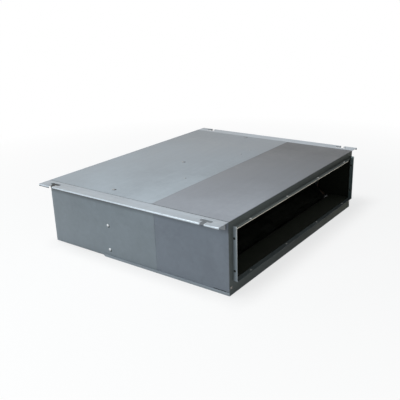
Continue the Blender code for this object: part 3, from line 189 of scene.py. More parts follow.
class Graph:
    """A node tree, built one call a node."""

    def __init__(self, tree):
        self.tree = tree
        tree.nodes.clear()

    def node(self, kind, settings=None, *values, **named):
        """Adds a node: its settings first, then its sockets in order or by name."""
        made = self.tree.nodes.new(kind)
        for key, setting in (settings or {}).items():
            setattr(made, key, setting)
        for socket, value in zip(made.inputs, values):
            self.feed(socket, value)
        for name, value in named.items():
            self.feed(find_socket(made.inputs, name), value)
        shown = [socket for socket in made.outputs if socket.enabled]
        return Value(self, shown[0]) if shown else None

    def feed(self, socket, value):
        """Links a value or a list of them to a socket, or sets a plain number or colour there."""
        if isinstance(value, (list, tuple)) and value and isinstance(value[0], Value):
            for one in value:
                self.feed(socket, one)
        elif isinstance(value, Value):
            self.tree.links.new(value.socket, socket)
        else:
            socket.default_value = value

    def mix(self, share, first, second):
        """Two colours mixed; a plain colour may be given as three numbers."""
        a, b = (c if isinstance(c, Value) else (*c, 1) for c in (first, second))
        mixed = self.node(
            "ShaderNodeMix", {"data_type": "RGBA"}, Factor_Float=share, A_Color=a, B_Color=b
        )
        return mixed.out("Result_Color")

    def shade(self, colour, by):
        """A colour made lighter or darker by a factor."""
        vector = colour if isinstance(colour, Value) else tuple(colour)
        return self.node("ShaderNodeVectorMath", {"operation": "SCALE"}, Vector=vector, Scale=by)


# Finishes
class Finish(Graph):
    """A material whose patterns lie on the object's own coordinates."""

    def __init__(self, name):
        self.material = bpy.data.materials.new(name)
        self.material.use_nodes = True
        super().__init__(self.material.node_tree)
        self.place = self.node("ShaderNodeTexCoord").out("Object")
        axes = self.node("ShaderNodeSeparateXYZ", None, self.place)
        self.x, self.y, self.z = axes.out("X"), axes.out("Y"), axes.out("Z")

    def noise(self, scale, detail=2.0, rough=0.5, stretch=(1, 1, 1)):
        """Noise from 0 to 1, with so many waves to a metre."""
        place = self.node("ShaderNodeMapping", None, Vector=self.place, Scale=stretch)
        return self.node(
            "ShaderNodeTexNoise", None, Vector=place, Scale=scale, Detail=detail, Roughness=rough
        )

    def cells(self, scale, stretch=(1, 1, 1)):
        """The distance to the nearest of scattered points, with so many to a metre."""
        place = self.node("ShaderNodeMapping", None, Vector=self.place, Scale=stretch)
        return self.node("ShaderNodeTexVoronoi", None, Vector=place, Scale=scale)

    def flakes(self, scale):
        """Cells that each have one brightness, from 0 to 1."""
        return self.node("ShaderNodeRGBToBW", None, self.cells(scale).out("Color"))

    def spread(self, value, low, high, start=0.0, end=1.0):
        """A value brought from one range to another, and held inside it."""
        return self.node("ShaderNodeMapRange", None, value, start, end, low, high)

    def bump(self, height, depth, **under):
        """A normal bent by a height from 0 to 1, so many metres deep."""
        return self.node("ShaderNodeBump", None, Height=height, Distance=depth, **under)

    def surface(self, **sockets):
        """Ends the material in a Principled shader with these sockets set."""
        named = {name.replace("_", " "): value for name, value in sockets.items()}
        shader = self.node("ShaderNodeBsdfPrincipled", None, **named)
        self.node("ShaderNodeOutputMaterial", None, shader)
        return self.material


def galvanised(name, colour, metallic=0.25, roughness=0.44, shine=0.2, far=None, parts=()):
    """Zinc-coated sheet: faint spangle, rolling streaks, smudges and a slight waviness.

    far is its colour at the right end, painted darker as light falloff, and parts are masks, each
    with the colour under it.
    """
    finish = Finish(name)
    if far is not None:
        colour = finish.mix(finish.spread(finish.x, 0, 1, LEFT + 0.05, RIGHT - 0.08), colour, far)
    for mask, other in parts:
        colour = finish.mix(mask(finish), colour, other)
    spangle = finish.flakes(95.0)
    streaks = finish.noise(60.0, 3.0, 0.6, stretch=(0.05, 1, 1))
    smudges = finish.noise(5.5, 4.0, 0.62)
    scuffs = finish.noise(38.0, 5.0, 0.75, stretch=(1, 0.25, 1))
    light = (
        finish.spread(spangle, 0.965, 1.035)
        * finish.spread(streaks, 0.955, 1.045)
        * finish.spread(smudges, 0.91, 1.09, 0.3, 0.7)
        * finish.spread(scuffs, 1.0, 1.06, 0.62, 0.72)
    )
    shaded = finish.shade(colour, light)
    dull = finish.spread(smudges, roughness - 0.06, roughness + 0.1, 0.3, 0.7)
    rough = dull + finish.spread(spangle, -0.03, 0.03)
    waves = finish.bump(finish.noise(4.0, 1.0, 0.4), 1.6 * MM)
    skin = finish.bump(scuffs * 0.4 + spangle * 0.6, 0.02 * MM, Normal=waves)
    return finish.surface(
        Base_Color=shaded, Metallic=metallic, Roughness=rough, Normal=skin, Specular_IOR_Level=shine
    )


def foam(name, colour):
    """Closed-cell insulation with a dusty, pitted face."""
    finish = Finish(name)
    pits = finish.cells(900.0)
    broad = finish.noise(22.0, 3.0, 0.6)
    light = finish.spread(broad, 0.7, 1.35, 0.3, 0.7) * finish.spread(pits, 1.15, 0.8, 0.0, 0.6)
    height = pits * 0.5 + finish.noise(140.0, 3.0, 0.6)
    return finish.surface(
        Base_Color=finish.shade(colour, light),
        Roughness=finish.spread(broad, 0.86, 0.98),
        Normal=finish.bump(height, 0.5 * MM),
        Specular_IOR_Level=0.2,
    )


def moulded(name, colour, roughness=0.5):
    """Dark moulded plastic with a fine spark-eroded grain and dust in broad patches."""
    finish = Finish(name)
    grain = finish.noise(1500.0, 2.0, 0.6)
    dust = finish.noise(16.0, 4.0, 0.6)
    light = finish.spread(dust, 0.85, 1.4, 0.35, 0.75) * finish.spread(grain, 0.94, 1.06)
    return finish.surface(
        Base_Color=finish.shade(colour, light),
        Roughness=finish.spread(dust, roughness - 0.05, roughness + 0.15, 0.35, 0.75),
        Normal=finish.bump(grain, 0.05 * MM),
    )


def moulded_rubber(name, colour):
    """Matt rubber with bloom."""
    finish = Finish(name)
    bloom = finish.noise(60.0, 4.0, 0.65)
    return finish.surface(
        Base_Color=finish.shade(colour, finish.spread(bloom, 0.8, 1.7, 0.35, 0.75)),
        Roughness=finish.spread(bloom, 0.7, 0.9),
        Normal=finish.bump(finish.noise(700.0), 0.06 * MM),
    )


def bright_metal(name, colour, roughness, tarnish, drawn=(1, 1, 1), parts=()):
    """Drawn or turned metal: fine lines, with patches of tarnish.

    parts are masks, each with the colour painted there, such as a painted highlight and painted
    shade on the screws.
    """
    finish = Finish(name)
    lines = finish.noise(900.0, 2.0, 0.6, stretch=drawn)
    patches = finish.noise(34.0, 4.0, 0.62)
    spotted = finish.mix(finish.spread(patches, 0.0, 0.75, 0.46, 0.74), colour, tarnish)
    for mask, other in parts:
        spotted = finish.mix(mask(finish), spotted, other)
    return finish.surface(
        Base_Color=finish.shade(spotted, finish.spread(lines, 0.93, 1.06)),
        Metallic=1.0,
        Roughness=finish.spread(patches, roughness, roughness + 0.25, 0.4, 0.75),
        Normal=finish.bump(lines, 0.02 * MM),
    )


# Meshes
def turned(profile, centre, axis="X", steps=32):
    """A closed loop of (along, radius) points turned about an axis through centre."""
    bm = bmesh.new()
    rings = []
    for along, radius in profile:
        around = [2 * math.pi * k / steps for k in range(steps if radius else 1)]
        ring = [bm.verts.new((radius * math.cos(a), radius * math.sin(a), along)) for a in around]
        rings.append(ring if radius else ring * steps)
    for ring, after in zip(rings, rings[1:] + rings[:1]):
        for k in range(steps):
            corners = list(dict.fromkeys((ring[k - 1], ring[k], after[k], after[k - 1])))
            if len(corners) > 2:
                bm.faces.new(corners)
    turn = {"X": Matrix.Rotation(math.pi / 2, 4, "Y"), "Y": Matrix.Rotation(-math.pi / 2, 4, "X")}
    bm.transform(Matrix.Translation(centre) @ turn.get(axis, Matrix.Identity(4)))
    bmesh.ops.recalc_face_normals(bm, faces=bm.faces)
    return bm


def plate(outline, thickness):
    """A flat (y, z) outline given a thickness along X, from X = 0."""
    bm = bmesh.new()
    near = [bm.verts.new((0, y, z)) for y, z in outline]
    far = [bm.verts.new((thickness, y, z)) for y, z in outline]
    bm.faces.new(near)
    bm.faces.new(far[::-1])
    for i in range(len(outline)):
        bm.faces.new((near[i - 1], near[i], far[i], far[i - 1]))
    bmesh.ops.recalc_face_normals(bm, faces=bm.faces)
    return bm


def shade_round(obj, degrees):
    """Shades an object smooth, apart from the edges that turn more than this."""
    obj.data.shade_smooth()
    obj.data.set_sharp_from_angle(angle=math.radians(degrees))
    return obj


def as_object(name, bm, degrees=None):
    """The mesh as an object in the scene, shaded round where an angle is given."""
    mesh = bpy.data.meshes.new(name)
    bm.to_mesh(mesh)
    bm.free()
    made = bpy.data.objects.new(name, mesh)
    bpy.context.scene.collection.objects.link(made)
    return made if degrees is None else shade_round(made, degrees)


def join_shapes(bm, other):
    """Adds another shape's faces to this one."""
    loose = bpy.data.meshes.new("part")
    other.to_mesh(loose)
    other.free()
    bm.from_mesh(loose)
    bpy.data.meshes.remove(loose)


def made_plain(obj):
    """Turns what an object's modifiers make of it into its own mesh."""
    graph = bpy.context.evaluated_depsgraph_get()
    mesh = bpy.data.meshes.new_from_object(obj.evaluated_get(graph), depsgraph=graph)
    obj.modifiers.clear()
    obj.data = mesh
    return obj


def combined(obj, bm, operation):
    """Cuts or crosses an object with another shape."""
    other = as_object("shape", bm)
    modifier = obj.modifiers.new("shape", "BOOLEAN")
    modifier.operation = operation
    modifier.object = other
    made_plain(obj)
    bpy.data.objects.remove(other)


def fitted(piece, finish, body, slot, *nodes):
    """Gives a finished piece its material, the body that carries it and the nodes it stands for."""
    if finish is not None:
        piece.data.materials.clear()
        piece.data.materials.append(finish)
    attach(piece, body)
    if nodes:
        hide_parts(*nodes)


def round_node(node):
    """A round node's lowest and highest corners, its middle and its radius."""
    low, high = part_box(node)
    return low, high, (low + high) / 2, (high.z - low.z) / 2


def turned_piece(name, profile, middle, finish, slot, node, axis="X", steps=48):
    """A turned piece of the casing that stands for a node."""
    centre = (middle.x, 0, middle.z) if axis == "Y" else (0, middle.y, middle.z)
    piece = as_object(name, turned(profile, centre, axis, steps), 50)
    fitted(piece, finish, "casing", slot, node)


def node_copy(node):
    """A node's faces with their doubles merged."""
    bm = bmesh.new()
    bm.from_mesh(frame["nodes"][node].data)
    bmesh.ops.remove_doubles(bm, verts=bm.verts, dist=0.01 * MM)
    return bm


def rounded_copy(node, finish, body, slot, degrees=35):
    """A copy of a node with its facets shaded round, in the node's place."""
    made = as_object(node + "_skin", node_copy(node), degrees)
    fitted(made, finish, body, slot, node)


def edged_copy(node, finish, body, slot, width):
    """A copy of a sheet-metal node with its cut edges broken and its bends shaded round."""
    bm = node_copy(node)
    bmesh.ops.dissolve_limit(bm, angle_limit=math.radians(0.5), verts=bm.verts, edges=bm.edges)
    made = as_object(node + "_skin", bm)
    bevel = made.modifiers.new("edge", "BEVEL")
    bevel.width, bevel.segments = width, 2
    bevel.limit_method, bevel.angle_limit = "ANGLE", math.radians(50)
    shade_round(made_plain(made), 38)
    fitted(made, finish, body, slot, node)


def paint(finish, *nodes):
    """Puts a finish on nodes whose shape stays as it is."""
    for node in nodes:
        mesh = frame["nodes"][node].data
        mesh.materials.clear()
        mesh.materials.append(finish)


# Patterns that repeat
class Pattern(Graph):
    """A Geometry Nodes tree with named inputs, ending in plain faces with one finish."""

    def __init__(self, name, **inputs):
        super().__init__(bpy.data.node_groups.new(name, "GeometryNodeTree"))
        face = self.tree.interface
        face.new_socket("Geometry", in_out="OUTPUT", socket_type="NodeSocketGeometry")
        self.keys = {}
        for label, kind in {**inputs, "Finish": "Material"}.items():
            socket = face.new_socket(label, in_out="INPUT", socket_type="NodeSocket" + kind)
            self.keys[label] = socket.identifier
        self.inputs = self.tree.nodes.new("NodeGroupInput")

    def given(self, label):
        return Value(self, find_socket(self.inputs.outputs, self.keys[label]))

    def shape(self, label):
        """The geometry of an object that an input names."""
        return self.node("GeometryNodeObjectInfo", None, Object=self.given(label)).out("Geometry")

    def vector(self, x=0.0, y=0.0, z=0.0):
        return self.node("ShaderNodeCombineXYZ", None, x, y, z)

    def row(self, count, start, step):
        """Points in a straight row."""
        places = {"Start Location": start, "Offset": step}
        return self.node("GeometryNodeMeshLine", None, Count=count, **places)

    def copies(self, points, shape, **turn):
        """A copy of a shape at every point."""
        places = {"Points": points, "Instance": shape}
        return self.node("GeometryNodeInstanceOnPoints", None, **places, **turn)

    def close(self, *parts):
        """Ends the tree in these parts, made real and given the finish."""
        joined = self.node("GeometryNodeJoinGeometry", None, list(parts))
        real = self.node("GeometryNodeRealizeInstances", None, joined)
        finish = self.given("Finish")
        painted = self.node("GeometryNodeSetMaterial", None, Geometry=real, Material=finish)
        self.node("NodeGroupOutput", None, painted)
        return self

    def grow(self, name, start=None, **values):
        """Runs the pattern on a mesh, and leaves its result as a plain one."""
        start = start or bpy.data.meshes.new(name)
        made = bpy.data.objects.new(name, start)
        bpy.context.scene.collection.objects.link(made)
        modifier = made.modifiers.new(name, "NODES")
        modifier.node_group = self.tree
        for label, value in values.items():
            modifier[self.keys[label]] = value
        return made_plain(made)


def fixing_pattern():
    """One head at each place, square to its face and turned about its own axis at random."""
    pattern = Pattern("fixings", Places="Geometry", Head="Object", Seed="Int")
    vectors = {"data_type": "FLOAT_VECTOR"}
    facing = pattern.node("GeometryNodeInputNamedAttribute", vectors, "facing")
    upright = pattern.node("FunctionNodeAlignRotationToVector", {"axis": "Z"}, Vector=facing)
    seed, number = pattern.given("Seed"), {"data_type": "FLOAT"}
    turn = pattern.node("FunctionNodeRandomValue", number, Max_001=2 * math.pi, Seed=seed)
    spin = pattern.node("FunctionNodeAxisAngleToRotation", None, (0, 0, 1), turn)
    own_axis = {"rotation_space": "LOCAL"}
    rotation = pattern.node("FunctionNodeRotateRotation", own_axis, upright, spin)
    heads = pattern.copies(pattern.given("Places"), pattern.shape("Head"), Rotation=rotation)
    return pattern.close(heads)


def row_pattern():
    """Copies of one plate in a row along X."""
    pattern = Pattern("fins", Plate="Object", Count="Int", Start="Float", Pitch="Float")
    start, step = (pattern.vector(pattern.given(label)) for label in ("Start", "Pitch"))
    row = pattern.row(pattern.given("Count"), start, step)
    return pattern.close(pattern.copies(row, pattern.shape("Plate")))


def net_pattern():
    """Upright threads and level threads that lie on each other, in an XZ rectangle."""
    sizes = ("Width", "Height", "Mesh", "Thread")
    pattern = Pattern("net", Corner="Vector", **dict.fromkeys(sizes, "Float"))
    width, height, mesh, thread = map(pattern.given, sizes)
    sets = []
    for span, step, size, middle, lift in (
        (width, (mesh, 0.0, 0.0), (thread, thread, height), (0.0, 0.0, height / 2), 0.0),
        (height, (0.0, 0.0, mesh), (width, thread, thread), (width / 2, 0.0, 0.0), 0.8),
    ):
        first = pattern.vector(middle[0], thread * lift, middle[2])
        add = {"operation": "ADD"}
        start = pattern.node("ShaderNodeVectorMath", add, pattern.given("Corner"), first)
        row = pattern.row(span / mesh + 1.0, start, pattern.vector(*step))
        bar = pattern.node("GeometryNodeMeshCube", None, Size=pattern.vector(*size))
        sets.append(pattern.copies(row, bar))
    return pattern.close(*sets)


def wheel_pattern():
    """Blades set round the shaft, with the rings and hub that carry them."""
    pattern = Pattern("wheel", Blade="Object", Rings="Object", Blades="Int", Shaft="Vector")
    count, shaft = pattern.given("Blades"), pattern.given("Shaft")
    points = pattern.node("GeometryNodePoints", None, Count=count, Position=shaft)
    share = pattern.node("GeometryNodeInputIndex") / count
    around = pattern.vector(share * (2 * math.pi))
    turn = pattern.node("FunctionNodeEulerToRotation", None, around)
    blades = pattern.copies(points, pattern.shape("Blade"), Rotation=turn)
    return pattern.close(blades, pattern.shape("Rings"))


def coil_place(along, across):
    """A (y, z) place on the slanted coil, from its lower front edge."""
    cos, sin = math.cos(COIL_ANGLE), math.sin(COIL_ANGLE)
    toe = FINS[0].y + COIL_THICKNESS * sin
    return toe + along * cos - across * sin, FINS[0].z + along * sin + across * cos


# Settings
def colour_prop(name, description, default):
    return FloatVectorProperty(
        name=name, description=description, subtype="COLOR", min=0, max=1, default=default
    )


def length_prop(name, description, default, low, high):
    return FloatProperty(
        name=name,
        description=description,
        default=default,
        min=low,
        max=high,
        precision=5,
        unit="LENGTH",
    )


def angle_prop(name, description, degrees):
    default = math.radians(degrees)
    return FloatProperty(name=name, description=description, default=default, unit="ROTATION")


def power_prop(name, description, default):
    return FloatProperty(name=name, description=description, default=default, min=0, unit="POWER")


class CasingSettings(bpy.types.PropertyGroup):
    sheet: colour_prop("Rear sheet", "Zinc-coated sheet of the rear casing", (0.34, 0.385, 0.425))
    # Painted light falloff: the rear sheet is painted darker towards its right end, away from the
    # lamps.
    sheet_far: colour_prop(
        "Rear sheet, right", "What the rear sheet dulls to at its right end", (0.252, 0.278, 0.305)
    )
    front_sheet: colour_prop("Front sheet", "Duller sheet of the coil section", (0.30, 0.32, 0.355))
    # Painted light falloff: the front sheet is painted darker towards its right end, away from the
    # lamps.
    front_far: colour_prop(
        "Front sheet, right", "What the front sheet dulls to at its right end", (0.12, 0.124, 0.13)
    )
    front_side: colour_prop(
        "Front sides", "Bluer sheet of the coil section's two sides", (0.325, 0.358, 0.415)
    )
    # Painted shade: the outlet panel's front face is painted dark, as it lies in shade.
    outlet: colour_prop("Outlet panel", "Darkened sheet round the air outlet", (0.22, 0.24, 0.235))
    # Painted shade: the outlet panel is painted darker still towards its right end.
    outlet_far: colour_prop(
        "Outlet panel, right",
        "What the outlet panel dulls to at its right end",
        (0.085, 0.095, 0.085),
    )
    collar: colour_prop(
        "Collar", "Bare sheet of the collar round the air outlet", (0.43, 0.485, 0.53)
    )
    # Painted shade on the collar's top and bottom walls.
    collar_top: colour_prop(
        "Collar, top", "Duller sheet of the collar's top and bottom walls", (0.09, 0.102, 0.10)
    )
    rail: colour_prop(
        "Hanger rails", "Brighter sheet of the two hanger rails", (0.385, 0.425, 0.465)
    )
    # Painted highlight along the hanger rails' rolled edge.
    rolled_edge: colour_prop(
        "Rolled edge", "Rubbed outer edge of the hanger rails", (0.80, 0.88, 0.96)
    )
    # Painted shade on the rails' leg, under their flange.
    shaded_leg: colour_prop(
        "Rail leg", "Grimy leg of the hanger rails, under their flange", (0.36, 0.385, 0.41)
    )
    tray: colour_prop("Front tray", "Sheet of the tray under the coil", (0.36, 0.405, 0.45))
    cut_edge: colour_prop("Cut edge", "Bare edge round the mouth of the collar", (0.62, 0.56, 0.47))
    # Dark joints beside the hanger rails and the leg's darker outline, and painted shade: under the
    # rails, under the rolled edge, towards the back and beside the side screws.
    grime: colour_prop("Grime", "Dirt in the joints beside the hanger rails", (0.13, 0.14, 0.145))
    edge_width: length_prop(
        "Edge", "How far a cut edge of the sheet is broken", 0.3 * MM, 0, 0.4 * MM
    )


class FixingSettings(bpy.types.PropertyGroup):
    head_diameter: length_prop("Head", "Diameter of a screw head", 8 * MM, 3 * MM, 10 * MM)
    head_height: length_prop("Height", "Height of a screw head", 2.2 * MM, 0.8 * MM, 3 * MM)
    rivet_diameter: length_prop("Rivet", "Diameter of a rivet head", 4.4 * MM, 2 * MM, 8 * MM)
    colour: colour_prop("Plating", "Zinc plating of the screws and rivets", (0.62, 0.63, 0.62))
    seed: IntProperty(
        name="Seed", description="Turns each head about its own axis", default=4, min=0
    )


class CoilSettings(bpy.types.PropertyGroup):
    fin_pitch: length_prop(
        "Fin pitch", "Distance from one fin to the next", 2.1 * MM, 1.2 * MM, 6 * MM
    )
    fin_thickness: length_prop("Fin thickness", "Thickness of a fin", 0.35 * MM, 0.1 * MM, 1 * MM)
    scallop: length_prop("Scallop", "Depth of the waves along a fin's edges", 1.1 * MM, 0, 3 * MM)
    # Painted shade: the fins are near-black, standing for the shade inside the casing.
    fin_colour: colour_prop("Fins", "Coated aluminium of the fins", (0.05, 0.056, 0.047))
    copper: colour_prop("Copper", "Pipes outside the casing", (0.72, 0.36, 0.20))
    # Painted shade: the tubes, bends and headers are near-black, standing for the shade inside the
    # casing.
    dark_copper: colour_prop(
        "Aged copper", "Tubes, bends and headers inside the casing", (0.018, 0.013, 0.010)
    )
    brass: colour_prop("Brass", "Flare nuts", (0.70, 0.52, 0.22))


class FilterSettings(bpy.types.PropertyGroup):
    mesh: length_prop(
        "Mesh", "Distance from one thread of the net to the next", 1.8 * MM, 1 * MM, 6 * MM
    )
    thread: length_prop("Thread", "Thickness of a thread", 0.4 * MM, 0.1 * MM, 0.45 * MM)
    colour: colour_prop("Net", "Woven plastic net", (0.05, 0.055, 0.06))


class BlowerSettings(bpy.types.PropertyGroup):
    blades: IntProperty(
        name="Blades", description="Blades on each wheel", default=36, min=12, max=60
    )
    chord: length_prop(
        "Chord", "How deep a blade is, from the eye to the rim", 12 * MM, 6 * MM, 20 * MM
    )
    plastic: colour_prop(
        "Plastic", "Moulded plastic of the wheels, housings and spouts", (0.028, 0.029, 0.031)
    )
    motor: colour_prop("Motor", "Plated can of the motor", (0.42, 0.44, 0.46))


class StageSettings(bpy.types.PropertyGroup):
    lens: FloatProperty(
        name="Lens",
        description="Focal length on a 36 mm sensor, in millimetres",
        default=52.344,
        min=20,
        max=200,
    )
    azimuth: angle_prop(
        "Azimuth", "Direction that the camera stands in, about the vertical", -53.1458
    )
    elevation: angle_prop("Elevation", "How far the camera looks down", 19.8431)
    roll: angle_prop("Roll", "Turn of the camera about its own axis", -1.9510)
    sky: FloatProperty(
        name="Sky", description="Even light from all round", default=0.16, min=0, max=1
    )
    key: power_prop("Key", "Power of the lamp above and behind", 78.0)
    side: power_prop("Side", "Power of the lamp on the left", 11.5)
    floor: colour_prop(
        "Floor", "Light that the pale floor throws back at the unit", (0.36, 0.36, 0.36)
    )


# The stage
def lamp(name, power, size, place, colour):
    """A soft rectangular lamp aimed at the middle of the unit."""
    data = bpy.data.lights.new(name, "AREA")
    data.shape = "RECTANGLE"
    data.energy = power
    data.size, data.size_y = size
    data.color = colour
    made = bpy.data.objects.new(name, data)
    made.location = place
    aim = Vector((0, 0, TOP / 2)) - Vector(place)
    made.rotation_euler = aim.to_track_quat("-Z", "Y").to_euler()
    bpy.context.scene.collection.objects.link(made)


def seen_or_mirrored(graph):
    """1 for rays of the camera and rays mirrored or passed on to it, 0 for light."""
    path = graph.node("ShaderNodeLightPath")
    mirrored = path.out("Is Glossy Ray") | path.out("Is Transmission Ray")
    return path.out("Is Camera Ray") | mirrored


def camera_turn(look):
    """The camera's axes, for the settings' azimuth, elevation and roll."""
    flat = math.cos(look.elevation)
    x, y = math.sin(look.azimuth) * flat, -math.cos(look.azimuth) * flat
    back = Vector((x, y, math.sin(look.elevation)))
    across = Vector((0, 0, 1)).cross(back).normalized()
    up = back.cross(across)
    cos, sin = math.cos(look.roll), math.sin(look.roll)
    return Matrix((cos * across + sin * up, cos * up - sin * across, back)).transposed()


class UNIT_OT_stage(bpy.types.Operator):
    """Set the camera, the floor, the backdrop and the studio light"""

    bl_idname = "ducted_unit.stage"
    bl_label = "Stage"

    def execute(self, context):
        scene = context.scene
        look = scene.unit_stage
        scene.view_settings.view_transform = "Standard"

        data = bpy.data.cameras.new("camera")
        data.lens, data.sensor_width = look.lens, SENSOR_WIDTH
        camera = bpy.data.objects.new("camera", data)
        camera.matrix_world = Matrix.Translation(CAMERA_PLACE) @ camera_turn(look).to_4x4()
        scene.collection.objects.link(camera)
        scene.camera = camera

        world = bpy.data.worlds.new("world")
        world.use_nodes = True
        graph = Graph(world.node_tree)
        seen = seen_or_mirrored(graph)
        tone = graph.mix(seen, COOL, WHITE)
        sky = graph.node("ShaderNodeBackground", None, tone, seen | look.sky)
        graph.node("ShaderNodeOutputWorld", None, sky)
        scene.world = world

        floor = Finish("floor")
        seen = seen_or_mirrored(floor)
        pale = floor.mix(seen, look.floor, FLOOR_SEEN)
        grain = floor.spread(floor.noise(3.0), 0.985, 1.0)
        lit = floor.node("ShaderNodeBsdfDiffuse", None, floor.shade(pale, grain))
        white = floor.node("ShaderNodeEmission", None, (*WHITE, 1), 1.0)
        away = floor.node("ShaderNodeVectorMath", {"operation": "LENGTH"}, floor.place)
        share = seen * floor.spread(away, 0.75, 1.0, *FLOOR_FADES)
        surface = floor.node("ShaderNodeMixShader", None, share, lit, white)
        floor.node("ShaderNodeOutputMaterial", None, surface)
        bm = bmesh.new()
        bmesh.ops.create_grid(bm, x_segments=12, y_segments=12, size=9.0)
        ground = as_object("floor", bm)
        ground.data.materials.append(floor.material)

        lamp("key", look.key, *KEY_LAMP)
        lamp("side", look.side, *SIDE_LAMP)
        return {"FINISHED"}


# Masks, each 1 on one part of the sheet metal and 0 elsewhere
def beside_rails(finish):
    """The narrow joints between the top and the two hanger rails."""
    return (abs(finish.x) > RIGHT - 1.2 * MM) * (finish.z > TOP_FACE)


def rail_leg(finish):
    """The upright leg of a hanger rail, under its flange."""
    return (abs(finish.x) < RIGHT + 2 * MM) * (finish.z < UNDER_FLANGE)


def rail_edge_highlight(finish):
    """The upper part of a hanger rail's rolled edge, painted bright as a highlight."""
    upper = (finish.z < EDGE_TOP) * (finish.z > EDGE_MIDDLE)
    return upper * (abs(finish.x) > EDGE_START)


def rail_edge_underside_shade(finish):
    """The lower part of a hanger rail's rolled edge, painted dark as shade, lighter towards the
    front.
    """
    lower = (finish.z < EDGE_MIDDLE) * (abs(finish.x) > EDGE_START)
    return lower * finish.spread(finish.y, 0.45, 1.0, FRONT, SEAM + 0.15)


def shadow_below_rails(finish):
    """A painted shadow on the casing's sides just below the rails, darker towards the back."""
    band = finish.spread(finish.z, 0.0, 0.7, TOP - 38 * MM, TOP - 25 * MM)
    return band * finish.spread(finish.y, 0.2, 1.0, FRONT, SEAM + 0.2)


def shadow_below_rear_rails(finish):
    """The same painted shadow, on the rear sheet's outer sides alone."""
    return shadow_below_rails(finish) * (finish.z < TOP - 10 * MM) * (abs(finish.x) > RIGHT - 3 * MM)


def rear_falloff_shade(finish):
    """The top and the rails, painted darker towards the back as light falloff."""
    return (finish.z > TOP_FACE) * finish.spread(finish.y, 0.0, 0.2, SEAM, REAR)


def darker_leg(finish):
    """The right rail's leg, and the left one's more and more towards the back, both darkened."""
    behind = finish.spread(finish.y, 0.0, 1.0, FRONT + 0.08, REAR - 0.12)
    return rail_leg(finish) * (behind | (finish.x > 0.0))


def front_seam_side(finish):
    """The front sheet dulls towards the seam."""
    return finish.spread(finish.y, 0.0, 0.17, FRONT + 0.02, SEAM)


def leg_end(finish):
    """The darker outline of a rail's leg where it ends under the flange's front corner."""
    outline = (finish.z < RAIL_LOW + 1.5 * MM) | (finish.y < FRONT + 9 * MM)
    ahead = finish.spread(finish.y, 1.0, 0.0, FRONT + 0.01, FRONT + 0.04)
    return rail_leg(finish) * outline * ahead


def sill_shade(finish):
    """The strip under the air outlet, painted darker towards the right as shade."""
    below = finish.z < OUTLET_SPACE[0][2]
    return below * finish.spread(finish.x, 0.0, 1.0, LEFT + 0.2, RIGHT - 0.06)


def collar_walls(finish):
    return finish.y < COLLAR_START


def collar_root_shade(finish):
    """The collar's walls towards the front sheet, painted darker there as shade in the corner."""
    return collar_walls(finish) * finish.spread(finish.y, 0.0, 0.5, COLLAR_END + 6 * MM, FRONT)


def right_wall(finish):
    return collar_walls(finish) * (finish.x > OUTLET_RIGHT - 1 * MM)


def collar_top(finish):
    """The collar's top and bottom walls, away from its two sides."""
    away = abs(finish.x - (OUTLET_LEFT + OUTLET_RIGHT) / 2)
    return collar_walls(finish) * (away < (OUTLET_RIGHT - OUTLET_LEFT) / 2 - 1.5 * MM)


def collar_floor(finish):
    """The inner face of the collar's bottom wall."""
    return collar_top(finish) * (abs(finish.z - OUTLET_SILL) < 0.4 * MM)


def collar_right_shade(finish):
    """The collar's top and bottom walls, painted darker towards the right as shade."""
    return collar_top(finish) * finish.spread(finish.x, 0.0, 0.55, 0.0, RIGHT - 0.03)


def chamfered_end(finish):
    """The collar's top wall where its right end is cut back."""
    upper = (finish.z > OUTLET_TOP - 2 * MM) * (finish.x > OUTLET_RIGHT - 52 * MM)
    return collar_top(finish) * upper


def upper_mouth(finish):
    """The cut edge of the collar's top wall."""
    return (finish.y < COLLAR_END + 1.2 * MM) * (finish.z > OUTLET_TOP - 2 * MM)


def left_mouth_highlight(finish):
    """The edge of the collar's left wall, painted bright as a highlight, brightest at its upper
    corner.
    """
    edge = (finish.y < COLLAR_END + 3.4 * MM) * (finish.x < OUTLET_LEFT + 0.4 * MM)
    return edge * finish.spread(finish.z, 0.35, 1.0, OUTLET_SILL + 0.03, OUTLET_TOP - 0.004)


def shadow_at(places, offset, radius):
    """A mask of the shadow painted at one side of each screw or rivet."""

    def mask(finish):
        darkening = None
        for place, _ in places:
            middle = Vector(place) + Vector(offset)
            distance = {"operation": "DISTANCE"}
            away = finish.node("ShaderNodeVectorMath", distance, finish.place, middle)
            spot = finish.spread(away, 1.0, 0.0, radius * 0.75, radius * 1.25)
            darkening = spot if darkening is None else darkening | spot
        return darkening

    return mask


